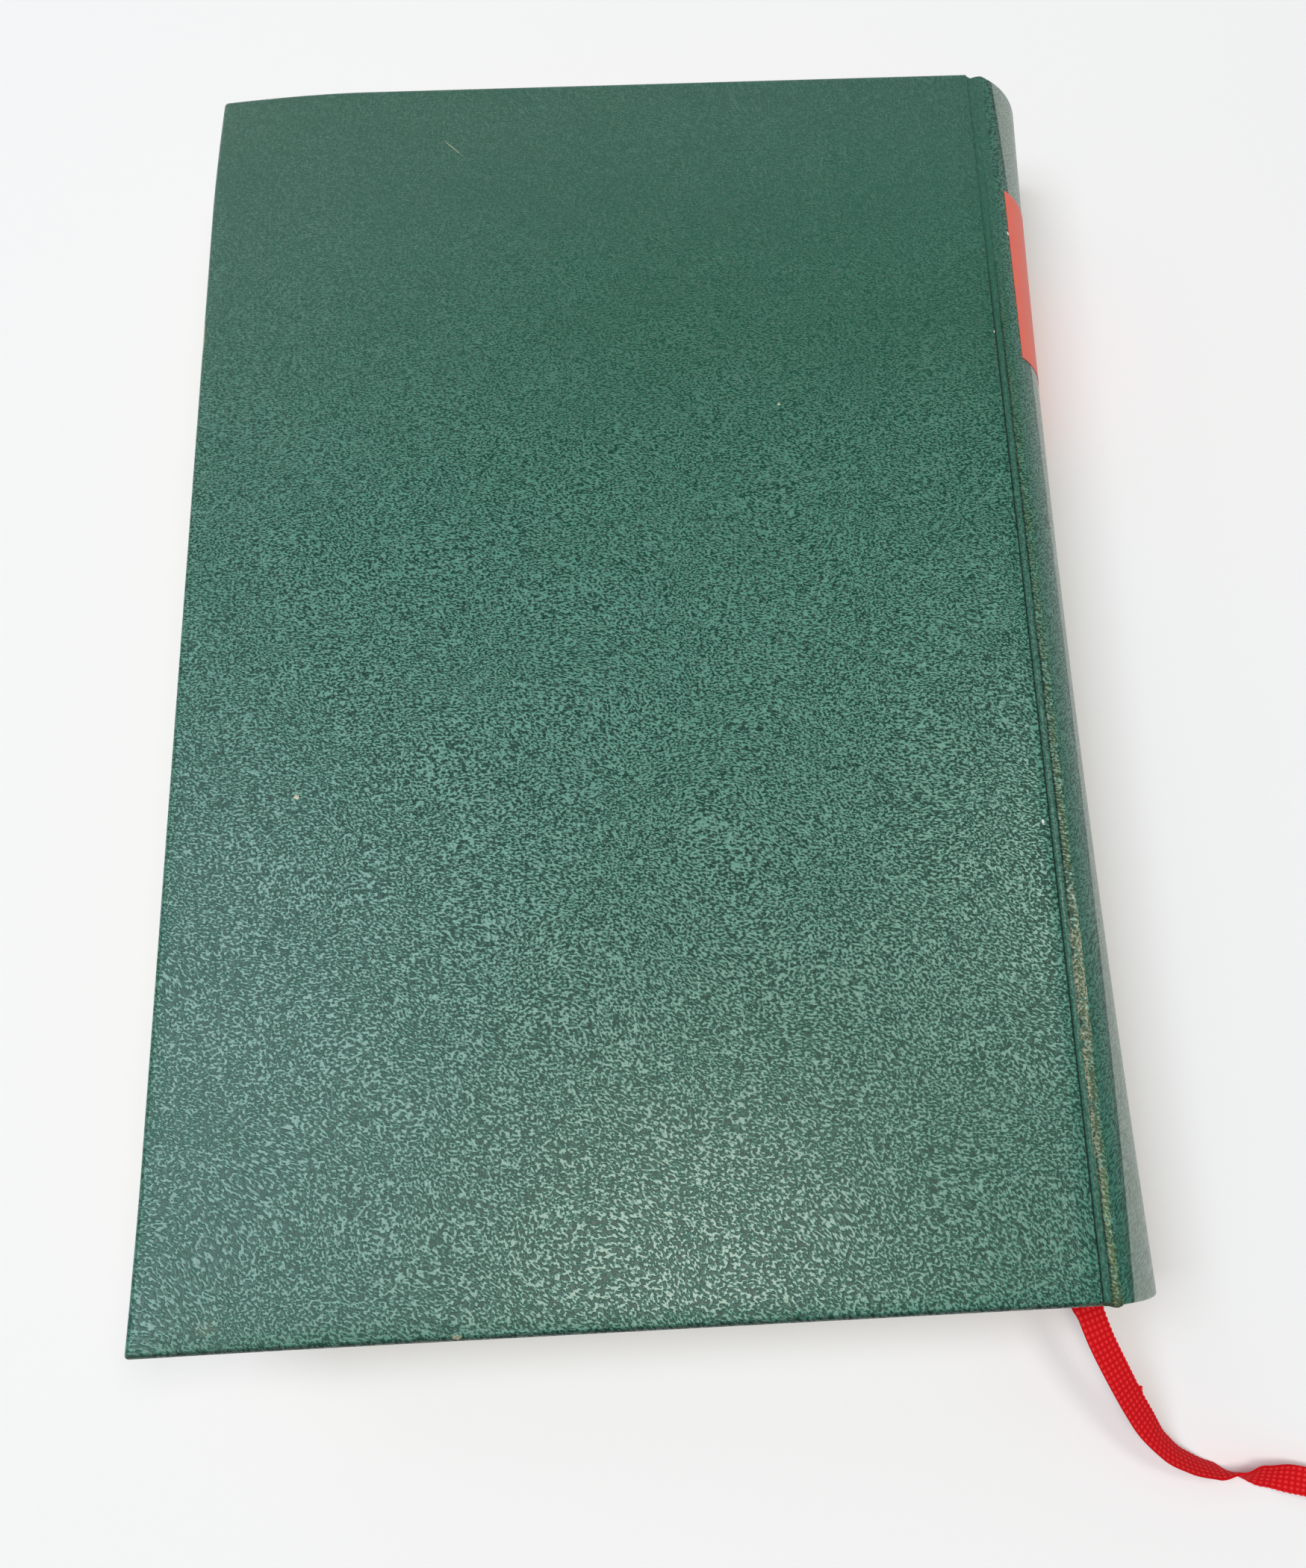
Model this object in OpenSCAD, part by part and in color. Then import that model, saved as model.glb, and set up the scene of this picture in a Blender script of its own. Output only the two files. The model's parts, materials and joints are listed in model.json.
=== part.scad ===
// Hardback book with a rounded back, lying on its front cover.
// X runs from the fore edge to the spine, Y from the tail to the head and Z up.
// The origin is at the centre of the closed book, on the surface that it lies on.

/* [Book] */
// Height of the covers, from tail to head
cover_h = 216; // [150:1:320]
// Width of a cover, from its fore edge to the joint
cover_w = 138.5; // [90:0.5:240]
// Thickness of the closed book over both covers
book_t = 30; // [20:0.5:45]
// How far the covers stand out past the pages
square = 3; // [2:0.5:6]

/* [Boards and covering] */
// Thickness of each board
board_t = 2.1; // [1.6:0.1:3.2]
// Thickness of the covering
cloth_t = 0.3; // [0.2:0.05:0.5]
// Width of the covering's turn-in on the inside of a board
turn_in = 15; // [8:1:25]
// Radius of a cover's edges
edge_r = 0.9; // [0.6:0.1:1.1]
// Radius of a cover's corners
corner_r = 1.5; // [1:0.5:6]

/* [Joint] */
// Distance from a board's edge to the bottom of the joint's valley
valley_run = 1.5; // [1.2:0.1:2.5]
// Depth of the valley below the cover
valley_depth = 0.95; // [0.7:0.05:1.3]
// Depth of the covering where it leaves the board's edge
edge_drop = 0.35; // [0.2:0.05:0.5]
// Distance from the bottom of the valley to the start of the spine's curve
shoulder_rise = 1.5; // [1.3:0.1:2.5]
// Depth of the shoulder below the cover
shoulder_depth = 0.85; // [0.7:0.05:1.3]
// Gap between the covering of a cover and that of the spine, in the valley
joint_gap = 0.3; // [0.2:0.05:0.4]

/* [Spine] */
// Reach of the spine past the boards' edges at the head and the tail
spine_reach = 11.5; // [10:0.5:14]
// How much less the spine reaches halfway up
spine_waist = 1.8; // [0:0.1:2.5]
// Thickness of the spine's inlay
inlay_t = 0.4; // [0.3:0.1:0.8]
// Gap between the inlay and the lining, halfway up the hollow back
hollow_gap = 0.15; // [0.1:0.05:0.6]
// Thickness of the title label
label_t = 0.1; // [0.1:0.05:0.3]
// Length of the title label along the spine
label_len = 35; // [15:1:60]
// Distance from the head of the spine to the label
label_from_head = 24.5; // [16:0.5:60]
// Share of the spine's curve that the label covers
label_share = 0.84; // [0.5:0.02:0.9]

/* [Pages] */
// Depth of the hollow in the fore edge of the pages
fore_hollow = 5.5; // [2:0.5:8]
// Thickness of an endpaper leaf
paper_t = 0.15; // [0.1:0.05:0.3]
// Gap between a flyleaf and the closed cover
page_gap = 0.15; // [0.1:0.05:0.4]
// Thickness of the gauze on the back of the pages
mull_t = 0.2; // [0.15:0.05:0.4]
// Width of the gauze's flap on a board
mull_flap = 25; // [15:1:40]
// How far the gauze stops short of the head and the tail of the pages
mull_short = 15; // [13:1:30]
// Thickness of the spine's paper lining
lining_t = 0.15; // [0.1:0.05:0.4]
// Radius of an endband's bead
bead_r = 1; // [0.6:0.1:1.2]
// Length of the tape that carries an endband's bead
band_tape = 12; // [6:1:13]

/* [Ribbon] */
// Width of the ribbon
ribbon_w = 4; // [3:0.5:6]
// Thickness of the ribbon
ribbon_t = 0.3; // [0.2:0.05:0.4]
// Distance from the boards' edges to the middle of the ribbon, towards the spine
ribbon_run = 1.5; // [-20:0.5:2]
// Length of ribbon glued to the back of the pages
ribbon_glued = 20; // [10:1:40]

/* [Hidden] */

$fn = 96;

// Clearance that lets two pieces lie against each other
seat_gap = 0.05;
// Overshoot of a cutting solid past the face that it cuts
cut = 1;

// Distance from a board's edge to the start of the spine's curve
shoulder_run = valley_run + shoulder_rise;

// Places across the book
fore_x = -(cover_w + spine_reach) / 2;
joint_x = fore_x + cover_w;
half_h = cover_h / 2;
mid_z = book_t / 2;

// Depths below the outside of a cover
board_top = cloth_t;
flap_top = board_top + board_t - mull_t;
board_bottom = board_top + board_t;
turn_bottom = board_bottom + cloth_t;
paste_bottom = turn_bottom + paper_t;
leaf_top = paste_bottom + page_gap;
block_top = leaf_top + paper_t;

// Inner edges of the turn-ins, and the edges of the pages
turn_x = fore_x + turn_in;
turn_y = half_h - turn_in;
page_x = fore_x + square;
page_y = half_h - square;

// A board stops this far short of the joint line
board_back = cloth_t / 2;
board_x = joint_x - board_back;

// Line of the joint, as distance from the board's edge and depth below the cover
edge_roll = 1.2;
joint_line = [
    [-edge_roll, 0],
    [-edge_roll / 2, edge_drop / 6],
    [0, edge_drop],
    [valley_run / 2, (edge_drop + valley_depth) * 0.55],
    [valley_run, valley_depth],
    [(valley_run + shoulder_run) / 2, min(valley_depth, shoulder_depth) * 0.94],
    [shoulder_run, shoulder_depth]
];
function joint_depth(run) = lookup(run, joint_line);

// Half height of the pages, and the ridge of their shoulder
page_half = mid_z - block_top;
foot_run = 0.2;
ridge_run = valley_run + 0.1;
ridge_half = mid_z - valley_depth - 2 * cloth_t - seat_gap;
shoulder_half = mid_z - shoulder_depth;

// Radius of an arc from its rise and half of its chord
function arc_radius(rise, half_chord) = (rise * rise + half_chord * half_chord) / (2 * rise);

// Rounded back of the pages
block_reach = spine_reach - spine_waist - cloth_t - inlay_t - hollow_gap - lining_t
    - seat_gap - mull_t;
block_r = arc_radius(block_reach - ridge_run, ridge_half);
block_arc_x = joint_x + block_reach - block_r;
fore_r = arc_radius(fore_hollow, page_half);

// Waisted arc of the case's spine at a height along the book
function reach_at(y) = spine_reach - spine_waist * (1 - pow(y / half_h, 2));
function spine_r(y) = arc_radius(reach_at(y) - shoulder_run, shoulder_half);
function spine_arc_x(y) = joint_x + reach_at(y) - spine_r(y);
function shoulder_angle(y) = atan2(shoulder_half, joint_x + shoulder_run - spine_arc_x(y));

// Angle that a paper or gauze layer wraps each way round the back of the pages
layer_wrap = 48;
// How far an endband's bead stands out past its tape
bead_proud = 0.1;
// Share of the spine's curve that the inlay covers
inlay_share = 0.95;
// Steps along the spine and round it
spine_rings = 8;
arc_steps = 20;

// Free end of the ribbon, from the tail of the pages to the surface and along it
ribbon_route = [
    [65, -105, 15], [65.2, -108, 15], [65.9, -111, 14.7], [67.2, -115, 13.8],
    [69.4, -120, 11.9], [71.8, -125, 9.4], [74.4, -129, 7.1], [77.2, -132.2, 5.2],
    [80.7, -134.6, 3.6], [85, -136.3, 2.4], [89.3, -137.2, 2.1], [92.8, -137.6, 2.1],
    [96.4, -138.1, 2.1], [100, -138.9, 2.1], [106, -140.8, 2.1], [112, -143.3, 2.1],
    [118, -146.5, 2.1]
];
ribbon_ring_step = 2;
ribbon_sides = 8;

cover_green = [0.16, 0.36, 0.30];
label_red = [0.85, 0.33, 0.29];
ribbon_red = [0.76, 0.05, 0.09];
page_cream = [0.93, 0.90, 0.82];
endpaper_cream = [0.95, 0.93, 0.88];
board_grey = [0.62, 0.60, 0.56];
gauze_white = [0.88, 0.88, 0.84];
band_green = [0.30, 0.52, 0.42];

// Section drawn across the book, heights from its middle, drawn out along it
module along_y(length) {
    translate([0, 0, mid_z]) rotate([90, 0, 0]) linear_extrude(height = length, center = true) children();
}

// Rectangle with all four corners rounded
module round_rect(low, high, r) {
    size = high - low;
    translate(low) {
        translate([r, 0]) square([size.x - 2 * r, size.y]);
        translate([0, r]) square([size.x, size.y - 2 * r]);
        for (x = [r, size.x - r], y = [r, size.y - r]) translate([x, y]) circle(r);
    }
}

// The part of a section that lies within an angle each way of +X
module wedge(angle, r) {
    polygon([[0, 0], 2 * r * [1, -tan(angle)], 2 * r * [1, tan(angle)]]);
}

// Layer on the rounded back of the pages
module back_layer(r_in, thickness, angle) {
    translate([block_arc_x, 0]) intersection() {
        difference() {
            circle(r_in + thickness);
            circle(r_in);
        }
        wedge(angle, r_in);
    }
}

// What is built for the back cover, turned over for the front cover
module as_front() {
    translate([0, 0, book_t]) mirror([0, 0, 1]) children();
}

// Flat box given by its plan and its depths below the outside of the back cover
module sheet(x0, x1, half_y, top, bottom) {
    translate([x0, -half_y, book_t - bottom]) cube([x1 - x0, 2 * half_y, bottom - top]);
}

// Outline that rounds a cover's two outer corners and its head, tail and fore edges
module rounding(inset, reach) {
    low_x = fore_x + inset;
    r = edge_r - inset;
    h = half_h - inset;
    intersection_for (part = [0, 1, 2]) {
        if (part == 0)
            translate([0, 0, book_t - turn_bottom - cut])
                linear_extrude(height = turn_bottom + 2 * cut)
                    round_rect([low_x, -h], [reach + cover_w, h], corner_r - inset);
        if (part == 1)
            along_y(cover_h)
                round_rect([low_x, mid_z - turn_bottom + inset], [reach + cover_w, mid_z - inset], r);
        if (part == 2)
            translate([low_x - cut, 0, 0]) rotate([90, 0, 90])
                linear_extrude(height = reach - low_x + 2 * cut)
                    round_rect([-h, book_t - turn_bottom + inset], [h, book_t - inset], r);
    }
}

// Section of a board, with the edge at the joint eased
module board_section() {
    polygon([
        [fore_x - cut, mid_z - board_bottom],
        [board_x, mid_z - board_bottom],
        [board_x, mid_z - board_top - joint_depth(-board_back)],
        [joint_x - edge_roll / 2, mid_z - board_top - joint_depth(-edge_roll / 2)],
        [joint_x - edge_roll, mid_z - board_top],
        [fore_x - cut, mid_z - board_top]
    ]);
}

module board_solid() {
    intersection() {
        along_y(cover_h) board_section();
        rounding(cloth_t, joint_x);
    }
}

// Points along the joint from one run to another, at a depth under its surface
function joint_points(from, to, under) = [
    for (run = concat([from], [for (p = joint_line) if (p.x > from && p.x < to) p.x], [to]))
        [joint_x + run, mid_z - joint_depth(run) - under]
];

// Strip of covering along the joint
module joint_strip(from, to, top, bottom) {
    below = joint_points(from, to, bottom);
    polygon(concat(
        joint_points(from, to, top),
        [for (i = [len(below) - 1:-1:0]) below[i]]
    ));
}

module cover_cloth() {
    strip_end = valley_run - joint_gap / 2;
    difference() {
        intersection() {
            along_y(cover_h) union() {
                polygon(concat(
                    [[fore_x - cut, mid_z - turn_bottom], [fore_x - cut, mid_z]],
                    joint_points(-edge_roll, -board_back, 0),
                    [[board_x, mid_z - turn_bottom]]
                ));
                joint_strip(-board_back - seat_gap, strip_end, 0, cloth_t);
            }
            rounding(0, joint_x + strip_end);
        }
        board_solid();
        sheet(turn_x, board_x + cut, turn_y, board_bottom - seat_gap, turn_bottom + cut);
    }
    for (side = [-1, 1]) translate([0, side * (half_h - turn_in / 2 - edge_r / 2), 0])
        along_y(turn_in - edge_r) joint_strip(-board_back, strip_end, cloth_t / 2, 2 * cloth_t);
}

module mull_flap_solid() {
    sheet(board_x - mull_flap, board_x, page_y - mull_short, flap_top, board_bottom);
}

module cover_board() {
    difference() {
        board_solid();
        sheet(board_x - mull_flap, board_x + cut, page_y - mull_short, flap_top, board_bottom + cut);
    }
}

module pastedown() {
    difference() {
        sheet(page_x, board_x, page_y, board_bottom, paste_bottom);
        // Room for the turn-ins between the sheet's border and the board
        difference() {
            sheet(page_x - cut, board_x + cut, page_y + cut, board_bottom - cut, turn_bottom);
            sheet(turn_x, board_x + 2 * cut, turn_y, board_bottom - 2 * cut, turn_bottom + cut);
        }
        // The middle of the sheet lies down on the board
        sheet(turn_x + paper_t, board_x + cut, turn_y - paper_t, board_bottom + paper_t, paste_bottom + cut);
    }
}

// Pages with their rounded back, shoulders and hollow fore edge
module page_block() color(page_cream) {
    foot_x = joint_x + foot_run;
    ridge_x = joint_x + ridge_run;
    difference() {
        along_y(2 * page_y) difference() {
            union() {
                translate([page_x, -page_half]) square([foot_x - page_x, 2 * page_half]);
                polygon([
                    [foot_x - cut, -page_half], [foot_x, -page_half], [ridge_x, -ridge_half],
                    [ridge_x + cut, cut - ridge_half], [ridge_x + cut, ridge_half - cut],
                    [ridge_x, ridge_half], [foot_x, page_half], [foot_x - cut, page_half]
                ]);
                translate([block_arc_x, 0]) intersection() {
                    circle(block_r - seat_gap);
                    translate([ridge_x - block_arc_x, -book_t]) square([book_t, 2 * book_t]);
                }
            }
            translate([page_x + fore_hollow - fore_r, 0]) circle(fore_r);
        }
        // Opening between the pages where the ribbon lies
        translate([joint_x + ribbon_run, 0, mid_z])
            cube([ribbon_w + 4 * seat_gap, cover_h, ribbon_t + 2 * seat_gap], center = true);
    }
}

// Leaf on the back of the pages, with its glued edge lying up the shoulder
module flyleaf() {
    lap = 0.6;
    foot = [joint_x + foot_run, page_half];
    ridge = [joint_x + ridge_run, ridge_half];
    lap_end = foot + lap * (ridge - foot);
    slope = (ridge - foot) / norm(ridge - foot);
    out = [-slope.y, slope.x] * paper_t;
    along_y(2 * page_y) polygon([
        [page_x, page_half], foot, lap_end, lap_end + out,
        [foot.x + out.x, page_half + paper_t], [page_x, page_half + paper_t]
    ]);
}

module back_flyleaf() color(endpaper_cream) flyleaf();
module front_flyleaf() color(endpaper_cream) as_front() flyleaf();

// Point on a circle about the middle of the rounded back, above its centre
function back_point(x, r) = [x, sqrt(r * r - pow(x - block_arc_x, 2))];

// Edge of the gauze that lies round the upper shoulder of the pages
module mull_edge(length) {
    lap = 0.3;
    foot = [joint_x + foot_run, page_half];
    ridge = [joint_x + ridge_run, ridge_half];
    slope = (ridge - foot) / norm(ridge - foot);
    out = [-slope.y, slope.x] * mull_t;
    lap_start = ridge - lap * (ridge - foot);
    into_x = ridge.x + 2 * mull_t;
    along_y(length) polygon([
        back_point(into_x, block_r + mull_t / 4), ridge, lap_start, lap_start + out, ridge + out,
        back_point(ridge.x, block_r + mull_t), back_point(into_x, block_r + mull_t * 3 / 4)
    ]);
}

// Gauze glued over the back of the pages and round both shoulders
module spine_mull() color(gauze_white) {
    length = 2 * (page_y - mull_short);
    ridge_angle = atan2(ridge_half, joint_x + ridge_run - block_arc_x);
    along_y(length) back_layer(block_r, mull_t, ridge_angle - 1);
    mull_edge(length);
    as_front() mull_edge(length);
}

module spine_lining() color(endpaper_cream) {
    along_y(2 * page_y - 2 * bead_r) back_layer(block_r + mull_t + seat_gap, lining_t, layer_wrap);
}

// Bead of an endband on its tape, which is glued to the back of the pages
module endband() {
    bead_y = page_y + bead_r;
    tape_y0 = page_y - band_tape;
    translate([block_arc_x, bead_y, mid_z]) rotate([90, layer_wrap, 0])
        rotate_extrude(angle = 2 * layer_wrap)
            translate([block_r + mull_t + bead_proud - bead_r, 0]) circle(bead_r, $fn = 32);
    translate([0, (tape_y0 + bead_y) / 2, 0])
        along_y(bead_y - tape_y0) back_layer(block_r, mull_t, layer_wrap - 1);
}

module headband() color(band_green) endband();
module tailband() color(band_green) mirror([0, 1, 0]) endband();

// Faces of a solid swept from rings that all have the same number of points
function side_faces(count, rings) = [
    for (k = [0:rings - 2], i = [0:count - 1])
        let (j = (i + 1) % count, a = k * count, b = a + count)
            each [[a + i, b + j, a + j], [a + i, b + i, b + j]]
];

// End faces of a swept solid whose rings go out along one side and back along the other
function strip_caps(count, rings) = let (half = count / 2, top = (rings - 1) * count) concat(
    [for (i = [0:half - 2]) [i, i + 1, count - 2 - i, count - 1 - i]],
    [for (i = [0:half - 2]) [top + count - 1 - i, top + count - 2 - i, top + i + 1, top + i]]
);

// End faces of a swept solid whose rings are each one outline
function round_caps(count, rings) = [
    [for (i = [0:count - 1]) i],
    [for (i = [count - 1:-1:0]) (rings - 1) * count + i]
];

module swept_strip(rings) {
    count = len(rings[0]);
    polyhedron(
        points = [for (ring = rings) each ring],
        faces = concat(side_faces(count, len(rings)), strip_caps(count, len(rings))),
        convexity = 4
    );
}

// Points round the spine at one height, offset inwards from its outside
function spine_arc(y, under, share) = [
    for (i = [0:arc_steps])
        let (a = share * shoulder_angle(y) * (1 - 2 * i / arc_steps), r = spine_r(y) - under)
            [spine_arc_x(y) + r * cos(a), y, mid_z + r * sin(a)]
];

function backwards(list) = [for (i = [len(list) - 1:-1:0]) list[i]];

// Places of the rings between two heights, with those that the whole spine uses
function ring_heights(from, to) = concat(
    [from],
    [for (k = [1:spine_rings - 1]) let (y = cover_h * (k / spine_rings - 0.5)) if (y > from + 1 && y < to - 1) y],
    [to]
);

// Curved sheet between two depths under the outside of the spine
module spine_sheet(from, to, top, bottom, share) {
    swept_strip([
        for (y = ring_heights(from, to))
            concat(spine_arc(y, top, share), backwards(spine_arc(y, bottom, share)))
    ]);
}

// Joint on both sides of the spine's outside or inside, joined by its arc
function spine_line(y, joint_under, arc_under) = let (
    from = valley_run + joint_gap / 2,
    upper = joint_points(from, shoulder_run - seat_gap - joint_under, joint_under),
    top = [for (p = upper) [p.x, y, mid_z + p.y]],
    low = [for (p = backwards(upper)) [p.x, y, mid_z - p.y]]
) concat(top, spine_arc(y, arc_under, 1), low);

inlay_half = half_h - cloth_t;

// Covering of the spine, turned in over the inlay at the head and the tail
module spine_cloth() color(cover_green) {
    inlay_bottom = cloth_t + inlay_t;
    turn_under = inlay_bottom + cloth_t;
    difference() {
        swept_strip([
            for (y = ring_heights(-half_h, half_h))
                concat(spine_line(y, 0, 0), backwards(spine_line(y, cloth_t, turn_under)))
        ]);
        spine_sheet(-inlay_half, inlay_half, cloth_t, inlay_bottom, inlay_share);
        spine_sheet(-turn_y, turn_y, cloth_t, turn_under + cut, 2 - inlay_share);
    }
}

module spine_inlay() color(board_grey) {
    spine_sheet(-inlay_half, inlay_half, cloth_t, cloth_t + inlay_t, inlay_share);
}

module title_label() color(label_red) {
    head_y = half_h - label_from_head;
    spine_sheet(head_y - label_len, head_y, -seat_gap / 2 - label_t, -seat_gap / 2, label_share);
}

// Rectangle of the ribbon's own section, turned about +Y and moved to a point
function ribbon_ring(at, turn, lean) = let (
    w = ribbon_w / 2 * [cos(turn), 0, sin(turn)],
    t = ribbon_t / 2 * [-sin(turn) * cos(lean), sin(lean), cos(turn) * cos(lean)]
) [at - w - t, at - w + t, at + w + t, at + w - t];

// Ribbon inside the book: glued down the back, over the headband and between the pages
module ribbon_marker() color(ribbon_red) {
    x = joint_x + ribbon_run;
    over_bead = page_y + 2 * bead_r + ribbon_t;
    back_x = block_arc_x + block_r + mull_t + lining_t + ribbon_t / 2 + 2 * seat_gap;
    bead_x = back_x - ribbon_t - lining_t;
    stations = [
        [[x, -page_y, mid_z], 0, 0],
        [[x, page_y, mid_z], 0, 0],
        [[x + 0.8, page_y + 0.6 * bead_r, mid_z], 30, 0],
        [[x + 1.8, page_y + 1.4 * bead_r, mid_z], 60, 20],
        [[x + 3, over_bead, mid_z], 90, 60],
        [[bead_x - 0.7, over_bead + 0.1, mid_z], 90, 90],
        [[back_x - 0.1, over_bead - 0.3, mid_z], 90, 135],
        [[back_x, page_y + bead_r, mid_z], 90, 180],
        [[back_x, page_y - ribbon_glued, mid_z], 90, 180]
    ];
    polyhedron(
        points = [for (s = stations) each ribbon_ring(s[0], s[1], s[2])],
        faces = concat(side_faces(4, len(stations)), round_caps(4, len(stations))),
        convexity = 6
    );
}

// Points of a round section across the route at one of its points
function route_ring(i) = let (
    before = ribbon_route[max(i - 1, 0)],
    after = ribbon_route[min(i + 1, len(ribbon_route) - 1)],
    along = (after - before) / norm(after - before),
    side = cross(along, [0, 0, 1]) / norm(cross(along, [0, 0, 1])),
    up = cross(side, along)
) [for (k = [0:ribbon_sides - 1])
    let (a = -360 * (k + 0.5) / ribbon_sides)
        ribbon_route[i] + ribbon_w / 2 * (cos(a) * side + sin(a) * up)
];

// Free end of the ribbon
module ribbon_tail() color(ribbon_red) {
    rings = [for (i = [0:ribbon_ring_step:len(ribbon_route) - 1]) route_ring(i)];
    polyhedron(
        points = [for (ring = rings) each ring],
        faces = concat(side_faces(ribbon_sides, len(rings)), round_caps(ribbon_sides, len(rings))),
        convexity = 4
    );
}

module back_board() color(board_grey) cover_board();
module front_board() color(board_grey) as_front() cover_board();
module back_cloth() color(cover_green) cover_cloth();
module front_cloth() color(cover_green) as_front() cover_cloth();
module back_mull_flap() color(gauze_white) mull_flap_solid();
module front_mull_flap() color(gauze_white) as_front() mull_flap_solid();
module back_pastedown() color(endpaper_cream) pastedown();
module front_pastedown() color(endpaper_cream) as_front() pastedown();

page_block();
back_flyleaf();
front_flyleaf();
spine_mull();
spine_lining();
headband();
tailband();
ribbon_marker();
ribbon_tail();
spine_cloth();
spine_inlay();
title_label();
back_board();
back_cloth();
back_mull_flap();
back_pastedown();
front_board();
front_cloth();
front_mull_flap();
front_pastedown();
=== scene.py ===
"""Hardback book with a rounded spine, lying closed on its front cover, with a ribbon marker at the tail.

X runs from the fore edge to the spine, Y from the tail to the head and Z up. Sizes in the classes are in
millimetres, and the meshes are in metres.
"""
import json
import logging
import math
from dataclasses import dataclass, field
from enum import Enum
from functools import partial, reduce
from typing import Callable, Iterable, Optional, Sequence

import bmesh
import bpy
from mathutils import Euler, Matrix, Vector

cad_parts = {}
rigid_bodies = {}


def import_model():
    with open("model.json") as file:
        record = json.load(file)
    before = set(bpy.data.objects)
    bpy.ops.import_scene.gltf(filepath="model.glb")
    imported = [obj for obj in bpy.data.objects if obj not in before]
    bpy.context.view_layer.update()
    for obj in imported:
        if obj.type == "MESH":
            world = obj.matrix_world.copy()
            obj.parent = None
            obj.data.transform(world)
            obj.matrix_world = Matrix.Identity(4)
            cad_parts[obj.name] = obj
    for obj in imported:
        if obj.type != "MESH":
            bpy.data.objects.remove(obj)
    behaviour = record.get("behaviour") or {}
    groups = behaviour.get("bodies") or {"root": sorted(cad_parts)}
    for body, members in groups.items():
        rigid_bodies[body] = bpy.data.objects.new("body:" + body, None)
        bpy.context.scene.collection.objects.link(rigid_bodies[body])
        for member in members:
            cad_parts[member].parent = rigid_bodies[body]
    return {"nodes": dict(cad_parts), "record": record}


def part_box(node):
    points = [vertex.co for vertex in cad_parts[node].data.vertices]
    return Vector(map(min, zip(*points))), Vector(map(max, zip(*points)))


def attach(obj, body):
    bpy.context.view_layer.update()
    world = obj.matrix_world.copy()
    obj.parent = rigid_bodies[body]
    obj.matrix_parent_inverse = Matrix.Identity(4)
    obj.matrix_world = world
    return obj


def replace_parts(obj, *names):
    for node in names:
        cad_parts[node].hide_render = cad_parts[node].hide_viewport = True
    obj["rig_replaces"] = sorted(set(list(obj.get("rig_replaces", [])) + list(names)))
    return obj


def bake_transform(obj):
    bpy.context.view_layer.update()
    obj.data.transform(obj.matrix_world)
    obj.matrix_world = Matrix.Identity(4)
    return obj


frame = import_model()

Piece = bpy.types.Object
Material = bpy.types.Material
Socket = bpy.types.NodeSocket
LOG = logging.getLogger("book")
MM = 0.001
EPS = 1e-6


# Rules that several classes share

def read_between(table: Sequence[tuple[float, float]], place: float, eased: bool = False) -> float:
    """Reads a table of places and values between its rows.

    Args:
        table: Places in rising order, each with its value.
        place: The place that is looked up.
        eased: Whether the value leaves and reaches each row gently.

    Returns:
        The value, which stays that of the last row past the table's end.
    """
    for (x0, v0), (x1, v1) in zip(table, table[1:]):
        if place <= x1:
            t = max(0.0, (place - x0) / (x1 - x0))
            return v0 + (v1 - v0) * (t * t * (3 - 2 * t) if eased else t)
    return table[-1][1]


def hump(place: float, at: tuple[float, float]) -> float:
    """Returns the height, from 0 to 1, of a hump that is given by its middle and its reach."""
    return math.exp(-((place - at[0]) / at[1]) ** 2)


# Reading the frame

@dataclass(frozen=True)
class Book:
    """Driving sizes of the book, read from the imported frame, in millimetres."""

    fore_x: float
    joint_x: float
    half_h: float
    thickness: float
    reach: float
    cloth: float = 0.3
    board: float = 2.1
    shoulder_run: float = 3.0
    shoulder_depth: float = 0.85
    waist: float = 1.8
    # Places past the board's edge, each with the depth of the joint there
    joint_line: tuple[tuple[float, float], ...] = (
        (-0.25, 0.0), (-0.1, 0.05), (0.0, 0.48), (0.15, 0.64), (0.75, 0.68), (1.3, 0.73),
        (1.55, 0.84), (1.9, 0.84), (2.4, 0.79), (2.7, 0.79), (3.0, 0.85),
    )

    @property
    def mid_z(self) -> float:
        """Height of the middle of the closed book."""
        return self.thickness / 2

    @property
    def shoulder_half(self) -> float:
        """Half height of the spine's arc where it starts."""
        return self.mid_z - self.shoulder_depth

    @property
    def spine_half(self) -> float:
        """Half length of the spine's arc at its head."""
        _, radius, half_angle = self.spine_arc(self.half_h)
        return radius * half_angle

    @property
    def turn_bottom(self) -> float:
        """Depth of the inside of the turn-in below the outside of a cover."""
        return self.board + 2 * self.cloth

    def joint_depth(self, run: float) -> float:
        """Returns how deep the joint's surface lies below the cover, at a distance from the board's edge."""
        return read_between(self.joint_line, run)

    def spine_arc(self, y: float) -> tuple[float, float, float]:
        """Finds the waisted arc of the spine at one height.

        Args:
            y: Place along the book.

        Returns:
            The arc's centre along X, its radius, and half of its angle in radians.
        """
        rise = self.reach - self.waist * (1 - (y / self.half_h) ** 2) - self.shoulder_run
        radius = (rise ** 2 + self.shoulder_half ** 2) / (2 * rise)
        centre = self.joint_x + self.shoulder_run + rise - radius
        return centre, radius, math.atan2(self.shoulder_half, radius - rise)

    def on_spine(self, share: float, y: float, under: float) -> Vector:
        """Finds a point on the rounded spine.

        Args:
            share: Place round the arc, from 1 at the back cover to -1 at the front cover.
            y: Place along the book.
            under: Depth below the outside of the covering.

        Returns:
            The point in metres.
        """
        centre, radius, half_angle = self.spine_arc(y)
        angle = share * half_angle
        r = radius - under
        return Vector((centre + r * math.cos(angle), y, self.mid_z + r * math.sin(angle))) * MM


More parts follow.
